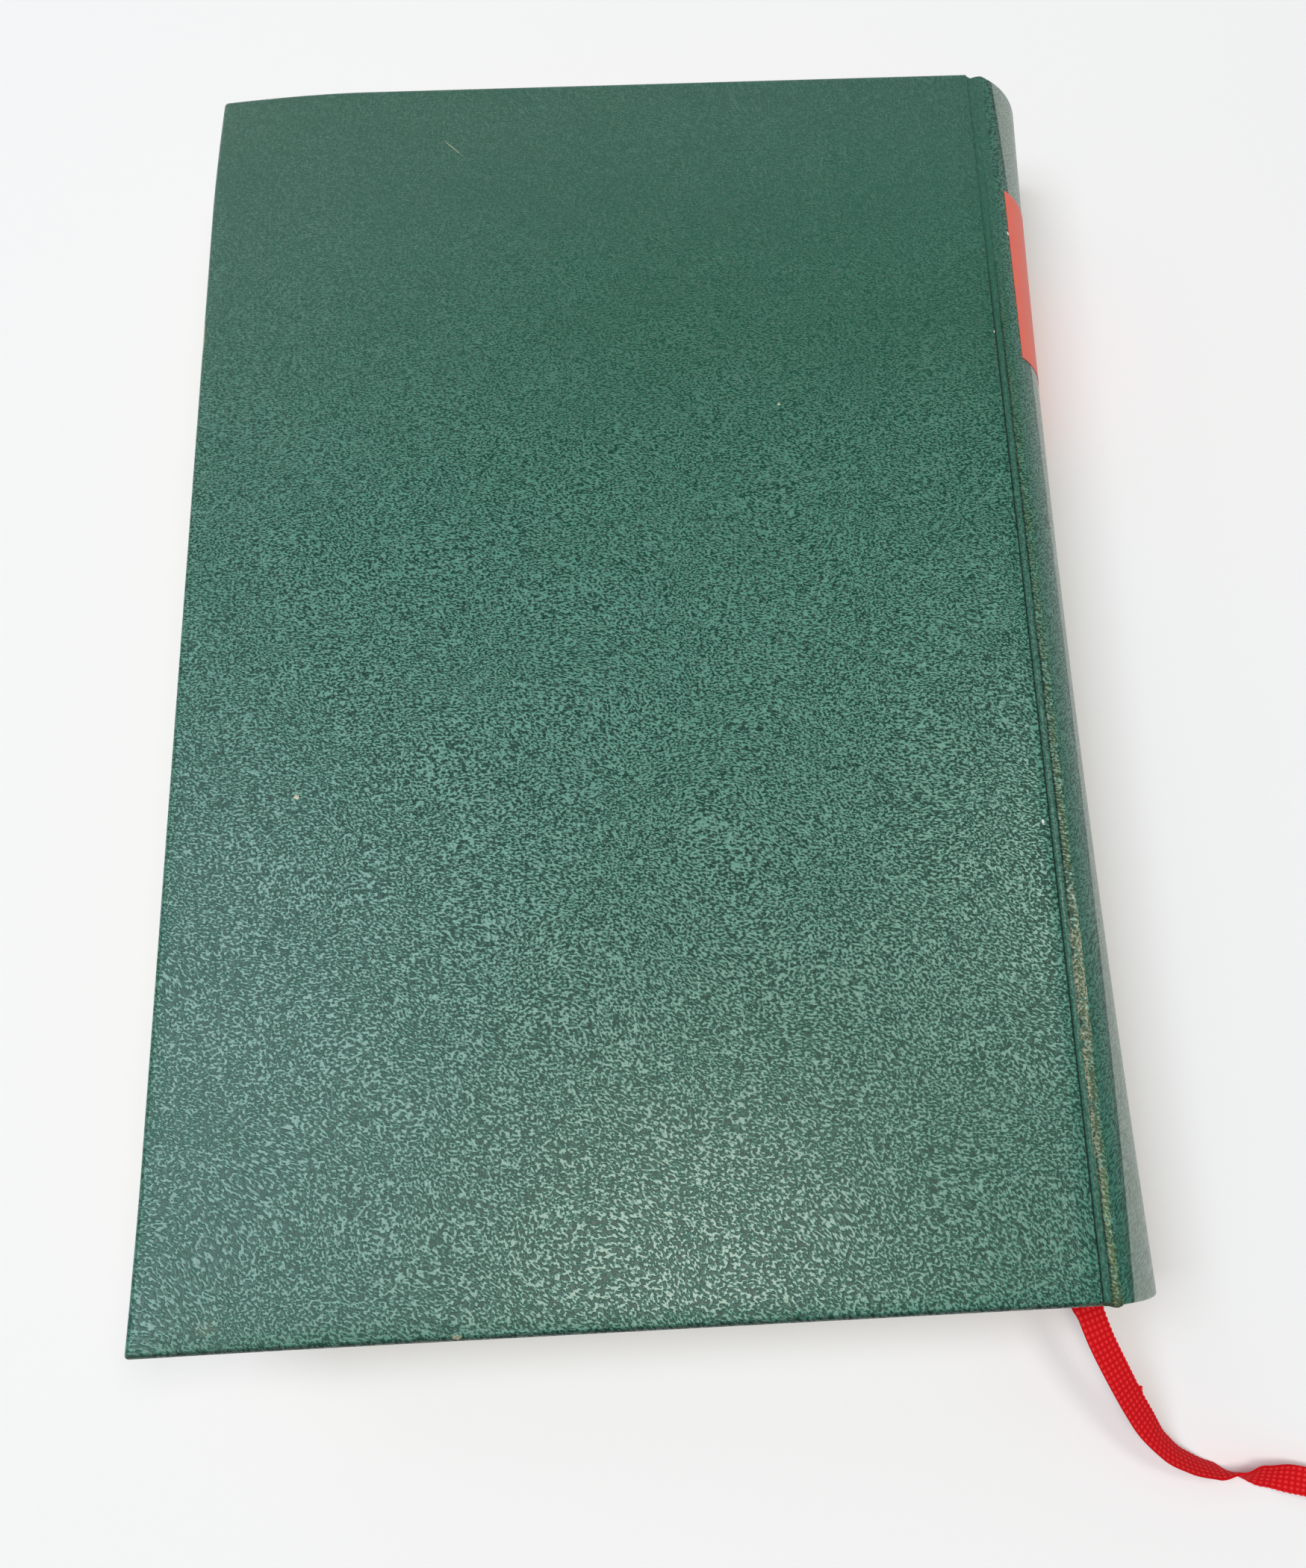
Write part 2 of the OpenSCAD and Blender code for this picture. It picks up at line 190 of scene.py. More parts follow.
def read_book() -> Book:
    """Reads the book's driving sizes from the frame.

    Returns:
        The sizes in millimetres.
    """
    board_low, board_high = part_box("back_board")
    cloth_low, cloth_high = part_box("back_cloth")
    spine_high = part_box("spine_cloth")[1]
    cloth = (board_low.x - cloth_low.x) / MM
    joint_x = board_high.x / MM + cloth / 2
    return Book(
        fore_x=cloth_low.x / MM, joint_x=joint_x, half_h=cloth_high.y / MM,
        thickness=cloth_high.z / MM, reach=spine_high.x / MM - joint_x, cloth=cloth,
    )


# Mesh helpers

def deselect_all() -> None:
    """Leaves edit mode and deselects every object."""
    if bpy.context.object and bpy.context.object.mode != "OBJECT":
        bpy.ops.object.mode_set(mode="OBJECT")
    for thing in bpy.context.selected_objects:
        thing.select_set(False)


def activate(piece: Piece) -> None:
    """Makes one piece the only selected and active object.

    Args:
        piece: The object.
    """
    deselect_all()
    piece.select_set(True)
    bpy.context.view_layer.objects.active = piece


def settle(piece: Piece) -> None:
    """Puts a piece's place, turn and size into its mesh, so that its object sits at the origin."""
    activate(piece)
    bpy.ops.object.transform_apply(location=True, rotation=True, scale=True)


def add_grid(name: str, low: Sequence[float], high: Sequence[float], z: float,
             cells: tuple[int, int]) -> Piece:
    """Adds a flat grid facing up.

    Args:
        name: The piece's name.
        low: Lowest x and y, in millimetres.
        high: Highest x and y, in millimetres.
        z: Height, in millimetres.
        cells: Number of cells along X and along Y.

    Returns:
        The piece.
    """
    deselect_all()
    centre = ((low[0] + high[0]) / 2 * MM, (low[1] + high[1]) / 2 * MM, z * MM)
    bpy.ops.mesh.primitive_grid_add(x_subdivisions=cells[0], y_subdivisions=cells[1], size=1, location=centre)
    piece = bpy.context.object
    piece.name = name
    piece.data.name = name
    piece.scale = ((high[0] - low[0]) * MM, (high[1] - low[1]) * MM, 1)
    settle(piece)
    return piece


def open_up(piece: Piece) -> None:
    """Opens a piece in edit mode."""
    activate(piece)
    bpy.ops.object.mode_set(mode="EDIT")


def select(piece: Piece, kind: str, test: Callable) -> None:
    """Selects what passes a test on a mesh in edit mode.

    Args:
        piece: The object in edit mode.
        kind: VERT or EDGE.
        test: Says of a bmesh element whether it is selected.
    """
    bpy.ops.mesh.select_mode(type=kind)
    bpy.ops.mesh.select_all(action="DESELECT")
    mesh = bmesh.from_edit_mesh(piece.data)
    for element in filter(test, mesh.verts if kind == "VERT" else mesh.edges):
        element.select_set(True)
    mesh.select_flush_mode()
    bmesh.update_edit_mesh(piece.data)


def middle(edge: bmesh.types.BMEdge) -> Vector:
    """Returns the middle of an edge."""
    return (edge.verts[0].co + edge.verts[1].co) / 2


def on_rim(axis: int, place: float) -> Callable[[bmesh.types.BMEdge], bool]:
    """Returns a test for the open edges that lie at a place along an axis, in metres."""
    return lambda e: e.is_boundary and all(abs(v.co[axis] - place) < EPS for v in e.verts)


def extrude_edges(move: Sequence[float]) -> None:
    """Extrudes the selected edges by a move in millimetres."""
    bpy.ops.mesh.extrude_region_move(TRANSFORM_OT_translate={"value": tuple(v * MM for v in move)})


def resize(value: Sequence[float], centre: Sequence[float]) -> None:
    """Scales what is selected in edit mode along X, Y and Z, about a point in millimetres."""
    bpy.ops.transform.resize(value=tuple(value), center_override=tuple(v * MM for v in centre))


def reshape(piece: Piece, move: Callable[[Vector], Vector]) -> None:
    """Moves every vertex of a piece by a rule.

    Args:
        piece: The object.
        move: Gives a vertex's new place, in metres, from its old one.
    """
    deselect_all()
    for vertex in piece.data.vertices:
        vertex.co = move(vertex.co.copy())
    piece.data.update()


def face_outwards(piece: Piece) -> None:
    """Merges a piece's doubles and makes its faces agree.

    Args:
        piece: The object.
    """
    open_up(piece)
    bpy.ops.mesh.select_all(action="SELECT")
    bpy.ops.mesh.remove_doubles(threshold=0.002 * MM)
    bpy.ops.mesh.normals_make_consistent(inside=False)
    bpy.ops.object.mode_set(mode="OBJECT")


def face_up(piece: Piece) -> None:
    """Makes an open surface's faces agree, with the highest flat ones looking up.

    Args:
        piece: The object.
    """
    face_outwards(piece)
    highest = max(piece.data.polygons, key=lambda p: (round(p.center.z, 5), abs(p.normal.z)))
    if highest.normal.z < 0:
        piece.data.flip_normals()


def apply_modifier(piece: Piece, kind: str, **settings: object) -> None:
    """Adds a modifier to a piece and applies it.

    Args:
        piece: The object.
        kind: The modifier's type.
        **settings: The modifier's own settings.
    """
    activate(piece)
    modifier = piece.modifiers.new(kind.title(), kind)
    for key, value in settings.items():
        setattr(modifier, key, value)
    bpy.ops.object.modifier_apply(modifier=modifier.name)


def smooth(piece: Piece, angle: float) -> None:
    """Shades a piece smooth, except at edges sharper than an angle in degrees."""
    activate(piece)
    bpy.ops.object.shade_smooth_by_angle(angle=math.radians(angle))


def declare(piece: Piece, material: Material, node: str = "", body: str = "",
            sharp: float = 35.0) -> None:
    """Args:
        piece: The object.
        material: Its material.
        node: The node that it stands for, if any.
        body: The body that it rides on, if any.
        sharp: Angle in degrees above which its edges stay sharp.
    """
    smooth(piece, sharp)
    dress(piece, material)
    if body:
        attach(piece, body)
    if node:
        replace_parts(piece, node)


def turned_over(piece: Piece, name: str, book: Book) -> Piece:
    """Copies a piece of the back cover to the front cover.

    Args:
        piece: The piece of the back cover.
        name: The copy's name.
        book: The book's sizes.

    Returns:
        The copy, with its own mesh.
    """
    copy = bpy.data.objects.new(name, piece.data.copy())
    bpy.context.scene.collection.objects.link(copy)
    copy.data.name = name
    copy.data.transform(Matrix.Translation((0, 0, book.thickness * MM)) @ Matrix.Diagonal((1, 1, -1, 1)))
    copy.data.flip_normals()
    return copy


def give_flat_map(piece: Piece, place: Callable[[Vector], tuple[float, float]]) -> None:
    """Gives a piece a UV map, in metres, from its vertices' places.

    Args:
        piece: The object.
        place: Gives the map's place of a vertex.
    """
    layer = piece.data.uv_layers.active or piece.data.uv_layers.new(name="flat")
    layer.name = "flat"
    for loop in piece.data.loops:
        layer.data[loop.index].uv = place(piece.data.vertices[loop.vertex_index].co)


# Materials

def linear(code: str) -> tuple[float, float, float, float]:
    """Turns an sRGB hex colour to linear.

    Args:
        code: The colour, such as #AABBCC.

    Returns:
        Linear red, green, blue and an alpha of 1.
    """
    parts = [int(code.lstrip("#")[i:i + 2], 16) / 255 for i in (0, 2, 4)]
    return (*[p / 12.92 if p <= 0.04045 else ((p + 0.055) / 1.055) ** 2.4 for p in parts], 1.0)


def add_node(tree: bpy.types.NodeTree, kind: str, inputs: Optional[dict] = None, out: object = 0,
             **settings: object) -> Socket:
    """Adds a node with its settings, values and links.

    Args:
        tree: The material's node tree.
        kind: The node's type, without its first words.
        inputs: A socket or a value for each input, by name or number.
        out: Name or number of the output that is wanted.
        **settings: The node's own settings.

    Returns:
        The output's socket.
    """
    node = tree.nodes.new(f"ShaderNode{kind}")
    for key, value in settings.items():
        setattr(node, key, value)
    for key, value in (inputs or {}).items():
        if isinstance(value, Socket):
            tree.links.new(value, node.inputs[key])
        else:
            node.inputs[key].default_value = value
    return node.outputs[out]


def new_material(name: str) -> tuple[Material, Callable, bpy.types.Node]:
    """Makes a material with one Principled shader.

    Args:
        name: The material's name.

    Returns:
        The material, the function that adds a node to it, and its shader.
    """
    material = bpy.data.materials.new(name)
    material.use_nodes = True
    tree = material.node_tree
    return material, partial(add_node, tree), tree.nodes["Principled BSDF"]


def dress(piece: Piece, material: Material) -> None:
    """Gives a piece one material."""
    piece.data.materials.clear()
    piece.data.materials.append(material)


def wire(shader: bpy.types.Node, paint: Socket, bump: Socket, roughness: float, gloss: float = 0.5) -> None:
    """Links a colour and a relief to a shader and sets how it mirrors.

    Args:
        shader: The Principled shader.
        paint: The colour.
        bump: The relief's normals.
        roughness: The surface's roughness.
        gloss: Strength of the mirroring, 0.5 for a usual surface.
    """
    link = shader.id_data.links.new
    link(paint, shader.inputs["Base Color"])
    link(bump, shader.inputs["Normal"])
    shader.inputs["Roughness"].default_value = roughness
    shader.inputs["Specular IOR Level"].default_value = gloss


@dataclass(frozen=True)
class Mark:
    """A small worn or soiled spot on the covering: its place and half sizes in millimetres."""

    x: float
    y: float
    long: float
    wide: float
    turn: float = 0.0
    strength: float = 0.6
    colour: str = "#C9C4A6"


@dataclass(frozen=True)
class Band:
    """A worn band: its middle, half width, softness and wander in millimetres, and its strength."""

    middle: float
    half: float
    soft: float
    wander: float = 0.0
    share: float = 1.0


@dataclass(frozen=True)
class JointWear:
    """Wear beside the joint, with painted shade along its creases, on the tail edge and in a deeper green
    patch.
    Bands across it are measured from the board's edge, and bands along it from the tail, as the painted shade
    on the tail edge is. A pair of bands is a patch, given across and along. The crease shade and stains fade
    in over a stretch of Y."""

    # Painted shade along the crease at the board's edge and along a second crease
    crease_shade: Band = Band(0.08, 0.2, 0.08, 0.1)
    second_crease_shade: Band = Band(1.5, 0.17, 0.08, 0.5, 0.9)
    stain: Band = Band(2.2, 0.6, 0.4, 0.5, 0.8)
    rub: tuple[Band, Band] = (Band(1.5, 0.25, 0.18, 0.6), Band(38, 19, 6))
    outer: tuple[Band, Band] = (Band(2.75, 0.5, 0.35, 0.8), Band(49, 10, 6, share=0.8))
    flecks: tuple[Band, Band] = (Band(2.1, 0.35, 0.3, 0.5), Band(9, 10, 5, share=0.6))
    flap: tuple[Band, Band] = (Band(2.6, 1.1, 0.3), Band(1.5, 2.2, 1.2, share=0.5))
    pressed: Band = Band(0.75, 0.62, 0.1, share=0.65)
    # Painted shade: a deeper green patch over the upper cover, near the joint
    painted_shade_patch: Band = Band(163, 22, 32, share=0.7)
    handled: tuple[float, float] = (76.0, 52.0)
    soiled: tuple[float, float] = (50.0, -40.0)
    # Painted shade on the tail edge: heights above the tail where it starts and where it is full
    tail_shade: tuple[float, float] = (1.4, 0.9)


class Grain(Enum):
    """How fine the grain is along X and Y, in pebbles per millimetre, about as on real leatherette: embossed
    on a flat cover, or drawn round the spine."""

    FLAT = (2.2, 3.5)
    STRETCHED = (1.4, 3.2)


@dataclass(frozen=True)
class Leatherette:
    """Imitation leather: paper coated with green vinyl, embossed and lacquered. Each pebble of the grain
    catches a small soft reflection; painted shade darkens the creases and painted highlights streak the
    grain.
    Rubbed folds show the khaki base, and the middle of the spine is painted pale grey green as a painted
    reflection."""

    name: str = "embossed_leatherette"
    colour: str = "#2E806A"
    # Colour in the grain's creases, partly grain tone and partly painted shade; also the painted shaded band
    # on the spine
    valley_tone_and_shade: str = "#0B3F32"
    # Colour of the painted highlights that streak the grain
    painted_glint: str = "#7FB3A4"
    # Colour of the painted shade in the grain's creases and along the joint's crease lines
    crease_shade: str = "#08231F"
    # Colour of the painted shade on the tail edge
    tail_shade: str = "#10291F"
    rubbed: str = "#AFAE8E"
    # Colour of the painted sheen that greys the cover towards the head
    painted_sheen: str = "#55705F"
    # Colour of the painted shade patch, a deeper green
    painted_shade_patch: str = "#0B5A42"
    olive: str = "#3F5C31"
    moss: str = "#7C8F4C"
    # Colour of the painted reflection down the middle of the spine
    painted_reflection: str = "#8FA297"
    roughness: float = 0.4
    ior: float = 1.5
    lacquer: float = 0.98
    gloss: float = 0.6
    lacquer_roughness: float = 0.26
    height_mm: float = 0.05
    usual: float = 0.45
    shadow: float = 0.35
    matt_creases: float = 0.15
    # Share, lean and wave sizes of the painted highlight streaks
    painted_glint_share: float = 0.22
    painted_glint_lean: float = 18.0
    painted_glint_waves: tuple[float, float, float] = (3.0, 1.2, 1.0)
    # Two places, and how plainly the grain shows at each
    fore_ramp: tuple[float, ...] = (-70.0, -20.0, 0.7, 1.0)
    head_ramp: tuple[float, ...] = (85.0, 20.0, 0.14, 1.2)
    tail_ramp: tuple[float, ...] = (-5.0, -80.0, 1.0, 0.65)
    drift_mm: float = 7.0
    crowding: float = 0.0019
    slant: float = 0.5
    wear: JointWear = JointWear()
    marks: tuple[Mark, ...] = ()

    def build(self, book: Book, grain: Grain) -> Material:
        """Builds the material.

        Args:
            book: The book's sizes.
            grain: How the grain lies.

        Returns:
            The material.
        """
        material, add, shader = new_material(f"{self.name}_{grain.name.lower()}")
        place = add("TexCoord", out="Object" if grain is Grain.FLAT else "UV")
        in_mm = add("VectorMath", {0: place, "Scale": 1 / MM}, operation="SCALE")
        find = self._joint if grain is Grain.FLAT else self._spine
        layers, strength = find(add, in_mm, book)
        layers += [(self._spot(add, in_mm, mark), mark.colour) for mark in self.marks]
        pebble = self._pebbles(add, in_mm, grain)
        contrast = add("Math", {0: strength, 1: self._calm(add, in_mm, grain)}, operation="MULTIPLY")
        tone = add("Mix", {0: contrast, 2: self.usual, 3: pebble})
        matt = self.matt_creases
        shine = add("Math", {0: tone, 1: 1 - matt, 2: matt}, operation="MULTIPLY_ADD")
        # Painted shade in the creases, over every layer, darker where the grain's tone is low
        depth = add("Math", {0: tone, 1: -self.shadow, 2: self.shadow}, operation="MULTIPLY_ADD")
        layers.append((depth, self.crease_shade))
        # The creases' colour, partly painted shade, lies under the pebbles' colour
        paint = linear(self.valley_tone_and_shade)
        # Painted highlights go over the pebbles, then the wear, the painted shade and sheen, and the marks
        for share, colour in [(tone, self.colour), (self._painted_glints(add, in_mm), self.painted_glint), *layers]:
            paint = add("Mix", {0: share, 6: paint, 7: linear(colour)}, 2, data_type="RGBA")
        bump = add("Bump", {"Height": pebble, "Strength": strength, "Distance": self.height_mm * MM})
        wire(shader, paint, bump, self.roughness)
        link = shader.id_data.links.new
        link(bump, shader.inputs["Coat Normal"])
        shader.inputs["IOR"].default_value = self.ior
        for name, value in (("Coat Weight", self.lacquer), ("Specular IOR Level", self.gloss)):
            link(add("Math", {0: shine, 1: value}, operation="MULTIPLY"), shader.inputs[name])
        shader.inputs["Coat Roughness"].default_value = self.lacquer_roughness
        return material

    def _painted_glints(self, add: Callable, in_mm: Socket) -> Socket:
        """Draws painted highlights: brighter streaks that stand in for glints off the polished grain.

        Args:
            add: Adds a node.
            in_mm: The place on the surface, in millimetres.

        Returns:
            The streaks' share.
        """
        bend = add("TexNoise", {"Vector": in_mm, "Scale": 0.06, "Detail": 1.0}, "Color")
        push = add("VectorMath", {0: bend, "Scale": 9.0}, operation="SCALE")
        leaning = add("Mapping", {
            "Vector": add("VectorMath", {0: in_mm, 1: push}),
            "Rotation": (0.0, 0.0, math.radians(self.painted_glint_lean)), "Scale": self.painted_glint_waves})
        streaks = add("TexNoise", {"Vector": leaning, "Scale": 1.0, "Detail": 1.0})
        return add("MapRange", {0: streaks, 1: 0.46, 2: 0.7, 3: 0.0, 4: self.painted_glint_share})

    def _calm(self, add: Callable, in_mm: Socket, grain: Grain) -> object:
        """Finds how plainly the grain, with its painted crease shade, shows in the colour and the sheen: less
        towards the head, the tail and the fore edge.

        Args:
            add: Adds a node.
            in_mm: The place on the surface, in millimetres.
            grain: How the grain lies.

        Returns:
            A factor, 1 for the usual grain.
        """
        if grain is Grain.STRETCHED:
            return 1.0
        x = add("SeparateXYZ", {0: in_mm})
        y = x.node.outputs[1]
        factor = 1.0
        for axis, ramp in ((y, self.head_ramp), (y, self.tail_ramp), (x, self.fore_ramp)):
            share = add("MapRange", {0: axis, **dict(enumerate(ramp, 1))})
            factor = add("Math", {0: factor, 1: share}, operation="MULTIPLY")
        return factor

    def _pebbles(self, add: Callable, in_mm: Socket, grain: Grain) -> Socket:
        """Draws the grain: small pebbles that run into short folds, closer together towards the head.

        Args:
            add: Adds a node.
            in_mm: The place on the surface, in millimetres.
            grain: How the grain lies.

        Returns:
            A height from 0 in the creases to 1 on the pebbles.
        """
        drift = add("TexNoise", {"Vector": in_mm, "Scale": 0.045, "Detail": 1.0}, "Color")
        swirl = add("VectorMath", {0: drift, "Scale": self.drift_mm}, operation="SCALE")
        moved = add("VectorMath", {0: in_mm, 1: swirl})
        x = add("SeparateXYZ", {0: moved})
        y, z = x.node.outputs[1], x.node.outputs[2]
        if grain is Grain.FLAT:
            closer = add("Math", {0: y, 1: self.crowding, 2: 1.0}, operation="MULTIPLY_ADD")
            up = add("Math", {0: y, 1: closer}, operation="MULTIPLY")
            along = add("Math", {0: y, 1: self.slant, 2: x}, operation="MULTIPLY_ADD")
        else:
            up = add("Math", {0: x, 1: -self.slant, 2: y}, operation="MULTIPLY_ADD")
            along = x
        cells = add("CombineXYZ", {0: along, 1: up, 2: z})
        across, rows = grain.value
        scaled = add("Mapping", {"Vector": cells, "Scale": (across, rows, across)})
        level = add("TexNoise", {"Vector": scaled, "Scale": 1.0, "Detail": 1.0})
        return add("MapRange", {0: level, 1: 0.4, 2: 0.6, 3: 0.0, 4: 1.0}, interpolation_type="SMOOTHSTEP")

    def _joint(self, add: Callable, in_mm: Socket, book: Book) -> tuple[list, Socket]:
        """Finds the painted shade along the joint's creases, where the joint is stained and rubbed, the
        painted sheen and the painted shade that make the cover greyer or deeper green, and the painted shade
        on the tail edge.

        Args:
            add: Adds a node.
            in_mm: The place on the surface, in millimetres.
            book: The book's sizes.

        Returns:
            The layers, each a share and a colour, and how strong the grain is.
        """
        x = add("SeparateXYZ", {0: in_mm})
        y = x.node.outputs[1]
        drawn = add("Mapping", {"Vector": in_mm, "Scale": (0.0, 0.14, 0.0)})
        course = add("TexNoise", {"Vector": drawn, "Scale": 1.0, "Detail": 3.0})
        patch = add("TexNoise", {"Vector": in_mm, "Scale": 0.4, "Detail": 2.0})
        speckle = add("TexNoise", {"Vector": in_mm, "Scale": 2.6, "Detail": 2.0})
        worn = add("MapRange", {0: speckle, 1: 0.44, 2: 0.56, 3: 0.05, 4: 1.0})
        bare = add("MapRange", {0: patch, 1: 0.36, 2: 0.5, 3: 0.15, 4: 1.0})

        def times(*shares: object) -> Socket:
            """Returns the product of shares."""
            return reduce(lambda a, b: add("Math", {0: a, 1: b}, operation="MULTIPLY"), shares)

        def around(axis: Socket, origin: float, band: Band) -> Socket:
            """Returns the share of a band along an axis, whose middle may wander."""
            centre = origin + band.middle + band.wander / 2
            shift = add("Math", {0: course, 1: band.wander, 2: -centre}, operation="MULTIPLY_ADD")
            off = add("Math", {0: add("Math", {0: axis, 1: shift})}, operation="ABSOLUTE")
            outer, inner = band.half + band.soft, band.half - band.soft
            return add("MapRange", {0: off, 1: outer, 2: inner, 3: 0.0, 4: band.share})

        wear = self.wear
        tail = -book.half_h
        across = partial(around, x, book.joint_x)
        along = partial(around, y, tail)
        # Painted sheen: the cover turns greyer towards the head, most towards the fore edge
        slope = add("Math", {0: x, 1: -0.35, 2: y}, operation="MULTIPLY_ADD")
        painted_sheen = add("MapRange", {0: slope, 1: 35.0, 2: 130.0, 3: 0.0, 4: 0.3})
        near_joint = add("MapRange", {0: x, 1: -60.0, 2: 0.0, 3: 0.0, 4: 1.0})
        handled = add("MapRange", {0: y, 1: wear.handled[0], 2: wear.handled[1], 3: 0.0, 4: 1.0})
        soiled = add("MapRange", {0: y, 1: wear.soiled[0], 2: wear.soiled[1], 3: 0.4, 4: 1.0})
        # Painted shade that darkens the tail edge, with a ragged border
        ragged = add("Math", {0: patch, 1: 1.0, 2: y}, operation="MULTIPLY_ADD")
        tail_shaded = add("MapRange", {0: ragged, 1: tail + wear.tail_shade[0], 2: tail + wear.tail_shade[1], 4: 0.85})
        strength = add("Math", {0: 1.0, 1: across(wear.pressed)}, operation="SUBTRACT")
        return [
            # Painted sheen towards the head
            (painted_sheen, self.painted_sheen),
            # Painted shade: deeper green over the upper cover near the joint
            (times(along(wear.painted_shade_patch), near_joint), self.painted_shade_patch),
            (times(across(wear.stain), handled, soiled, bare), self.olive),
            # Painted shade along the second crease
            (times(across(wear.second_crease_shade), handled), self.crease_shade),
            (times(across(wear.rub[0]), along(wear.rub[1]), worn, bare), self.rubbed),
            (times(across(wear.outer[0]), along(wear.outer[1]), worn), self.rubbed),
            (times(across(wear.flecks[0]), along(wear.flecks[1]), worn), self.moss),
            # Painted shade along the crease at the board's edge
            (times(across(wear.crease_shade), handled), self.crease_shade),
            # Painted shade on the tail edge
            (tail_shaded, self.tail_shade),
            (times(across(wear.flap[0]), along(wear.flap[1])), self.olive),
        ], strength

    def _spine(self, add: Callable, in_mm: Socket, book: Book) -> tuple[list, float]:
        """Finds the painted reflection, a pale strip down the spine that is narrower at mid height, and the
        painted shaded band beside it.

        Args:
            add: Adds a node.
            in_mm: The place on the spine's flat map, in millimetres.
            book: The book's sizes.

        Returns:
            The layers, each a share and a colour, and how strong the grain is.
        """
        x = add("SeparateXYZ", {0: in_mm})
        across = add("Math", {0: x}, operation="ABSOLUTE")
        ragged = add("TexNoise", {"Vector": in_mm, "Scale": 1.2, "Detail": 2.0})
        across = add("Math", {0: ragged, 1: 0.3, 2: across}, operation="MULTIPLY_ADD")
        height = add("Math", {0: x.node.outputs[1], 1: book.half_h}, operation="DIVIDE")
        square = add("Math", {0: height, 1: height}, operation="MULTIPLY")
        half = book.spine_half
        limit = add("Math", {0: square, 1: 0.26 * half, 2: 0.6 * half}, operation="MULTIPLY_ADD")
        past = add("Math", {0: across, 1: limit}, operation="SUBTRACT")
        # Painted reflection: the middle of the spine is pale, with a painted shaded band towards each
        # shoulder
        painted_reflection = add("MapRange", {0: past, 1: 0.3, 2: 0.0, 3: 0.0, 4: 0.95})
        shaded = add("MapRange", {0: past, 1: 1.6, 2: 0.6, 3: 0.0, 4: 0.55})
        return [(shaded, self.valley_tone_and_shade), (painted_reflection, self.painted_reflection)], 0.55

    def _spot(self, add: Callable, in_mm: Socket, mark: Mark) -> Socket:
        """Draws a mark.

        Args:
            add: Adds a node.
            in_mm: The place on the surface, in millimetres.
            mark: The mark.

        Returns:
            The share of bare base, from 0 to 1.
        """
        ragged = add("TexNoise", {"Vector": in_mm, "Scale": 3.0, "Detail": 2.0})
        local = add(
            "Mapping", {"Vector": in_mm, "Location": (mark.x, mark.y, 0),
                        "Rotation": (0, 0, math.radians(mark.turn)), "Scale": (mark.long, mark.wide, 1000)},
            vector_type="TEXTURE")
        off = add("VectorMath", {0: local}, "Value", operation="LENGTH")
        near = add("Math", {0: ragged, 1: 1.4, 2: off}, operation="MULTIPLY_ADD")
        return add("MapRange", {0: near, 1: 1.8, 2: 1.4, 3: 0.0, 4: mark.strength})


@dataclass(frozen=True)
class PageEdges:
    """Cut edges of uncoated book paper, in folded sections: fine lines along the leaves, matt and warm."""

    name: str = "cut_page_edges"
    colour: str = "#E8DFC8"
    shade: str = "#B8A98A"
    roughness: float = 0.85
    leaf_mm: float = 0.24
    section_mm: float = 1.7

    def build(self) -> Material:
        """Builds the material, with leaves drawn twice as thick as real ones so that they show.

        Returns:
            The material.
        """
        material, add, shader = new_material(self.name)
        in_mm = add("VectorMath", {0: add("TexCoord", out="Object"), "Scale": 1 / MM}, operation="SCALE")
        slow = add("Mapping", {"Vector": in_mm, "Scale": (0.03, 0.03, 0.25)})
        sway = add("TexNoise", {"Vector": slow, "Scale": 1.0, "Detail": 2.0})
        z = add("SeparateXYZ", {0: in_mm}, 2)
        height = add("Math", {0: sway, 1: 1.2, 2: z}, operation="MULTIPLY_ADD")
        leaf = add("CombineXYZ", {2: add("Math", {0: height, 1: self.leaf_mm}, operation="DIVIDE")})
        leaves = add("TexNoise", {"Vector": leaf, "Scale": 1.0, "Detail": 2.0})
        fold = add("Math", {0: height, 1: self.section_mm / 2}, operation="PINGPONG")
        gap = add("MapRange", {0: fold, 1: 0.0, 2: 0.14, 3: 0.55, 4: 0.0})
        dark = add("Math", {0: leaves, 1: -0.9, 2: 0.85}, operation="MULTIPLY_ADD", use_clamp=True)
        share = add("Math", {0: dark, 1: gap}, operation="MAXIMUM")
        paint = add("Mix", {0: share, 6: linear(self.colour), 7: linear(self.shade)}, 2, data_type="RGBA")
        rise = add("Math", {0: 1.0, 1: share}, operation="SUBTRACT")
        bump = add("Bump", {"Height": rise, "Strength": 0.6, "Distance": 0.08 * MM})
        wire(shader, paint, bump, self.roughness)
        return material


@dataclass(frozen=True)
class Sheeting:
    """A flat sheet good with a mottled colour and a fine tooth: paper, grey board or coated label paper."""

    name: str
    colour: str
    shade: str
    roughness: float
    tooth_mm: float
    height_mm: float
    mottle_mm: float = 6.0
    amount: float = 0.5
    gloss: float = 0.5

    def build(self) -> Material:
        """Builds the material.

        Returns:
            The material.
        """
        material, add, shader = new_material(self.name)
        place = add("TexCoord", out="Object")
        cloud = add("TexNoise", {"Vector": place, "Scale": 1 / (self.mottle_mm * MM), "Detail": 4.0})
        share = add("Math", {0: cloud, 1: self.amount}, operation="MULTIPLY")
        paint = add("Mix", {0: share, 6: linear(self.colour), 7: linear(self.shade)}, 2, data_type="RGBA")
        tooth = add("TexNoise", {"Vector": place, "Scale": 1 / (self.tooth_mm * MM), "Detail": 3.0})
        bump = add("Bump", {"Height": tooth, "Strength": 0.7, "Distance": self.height_mm * MM})
        wire(shader, paint, bump, self.roughness, self.gloss)
        return material


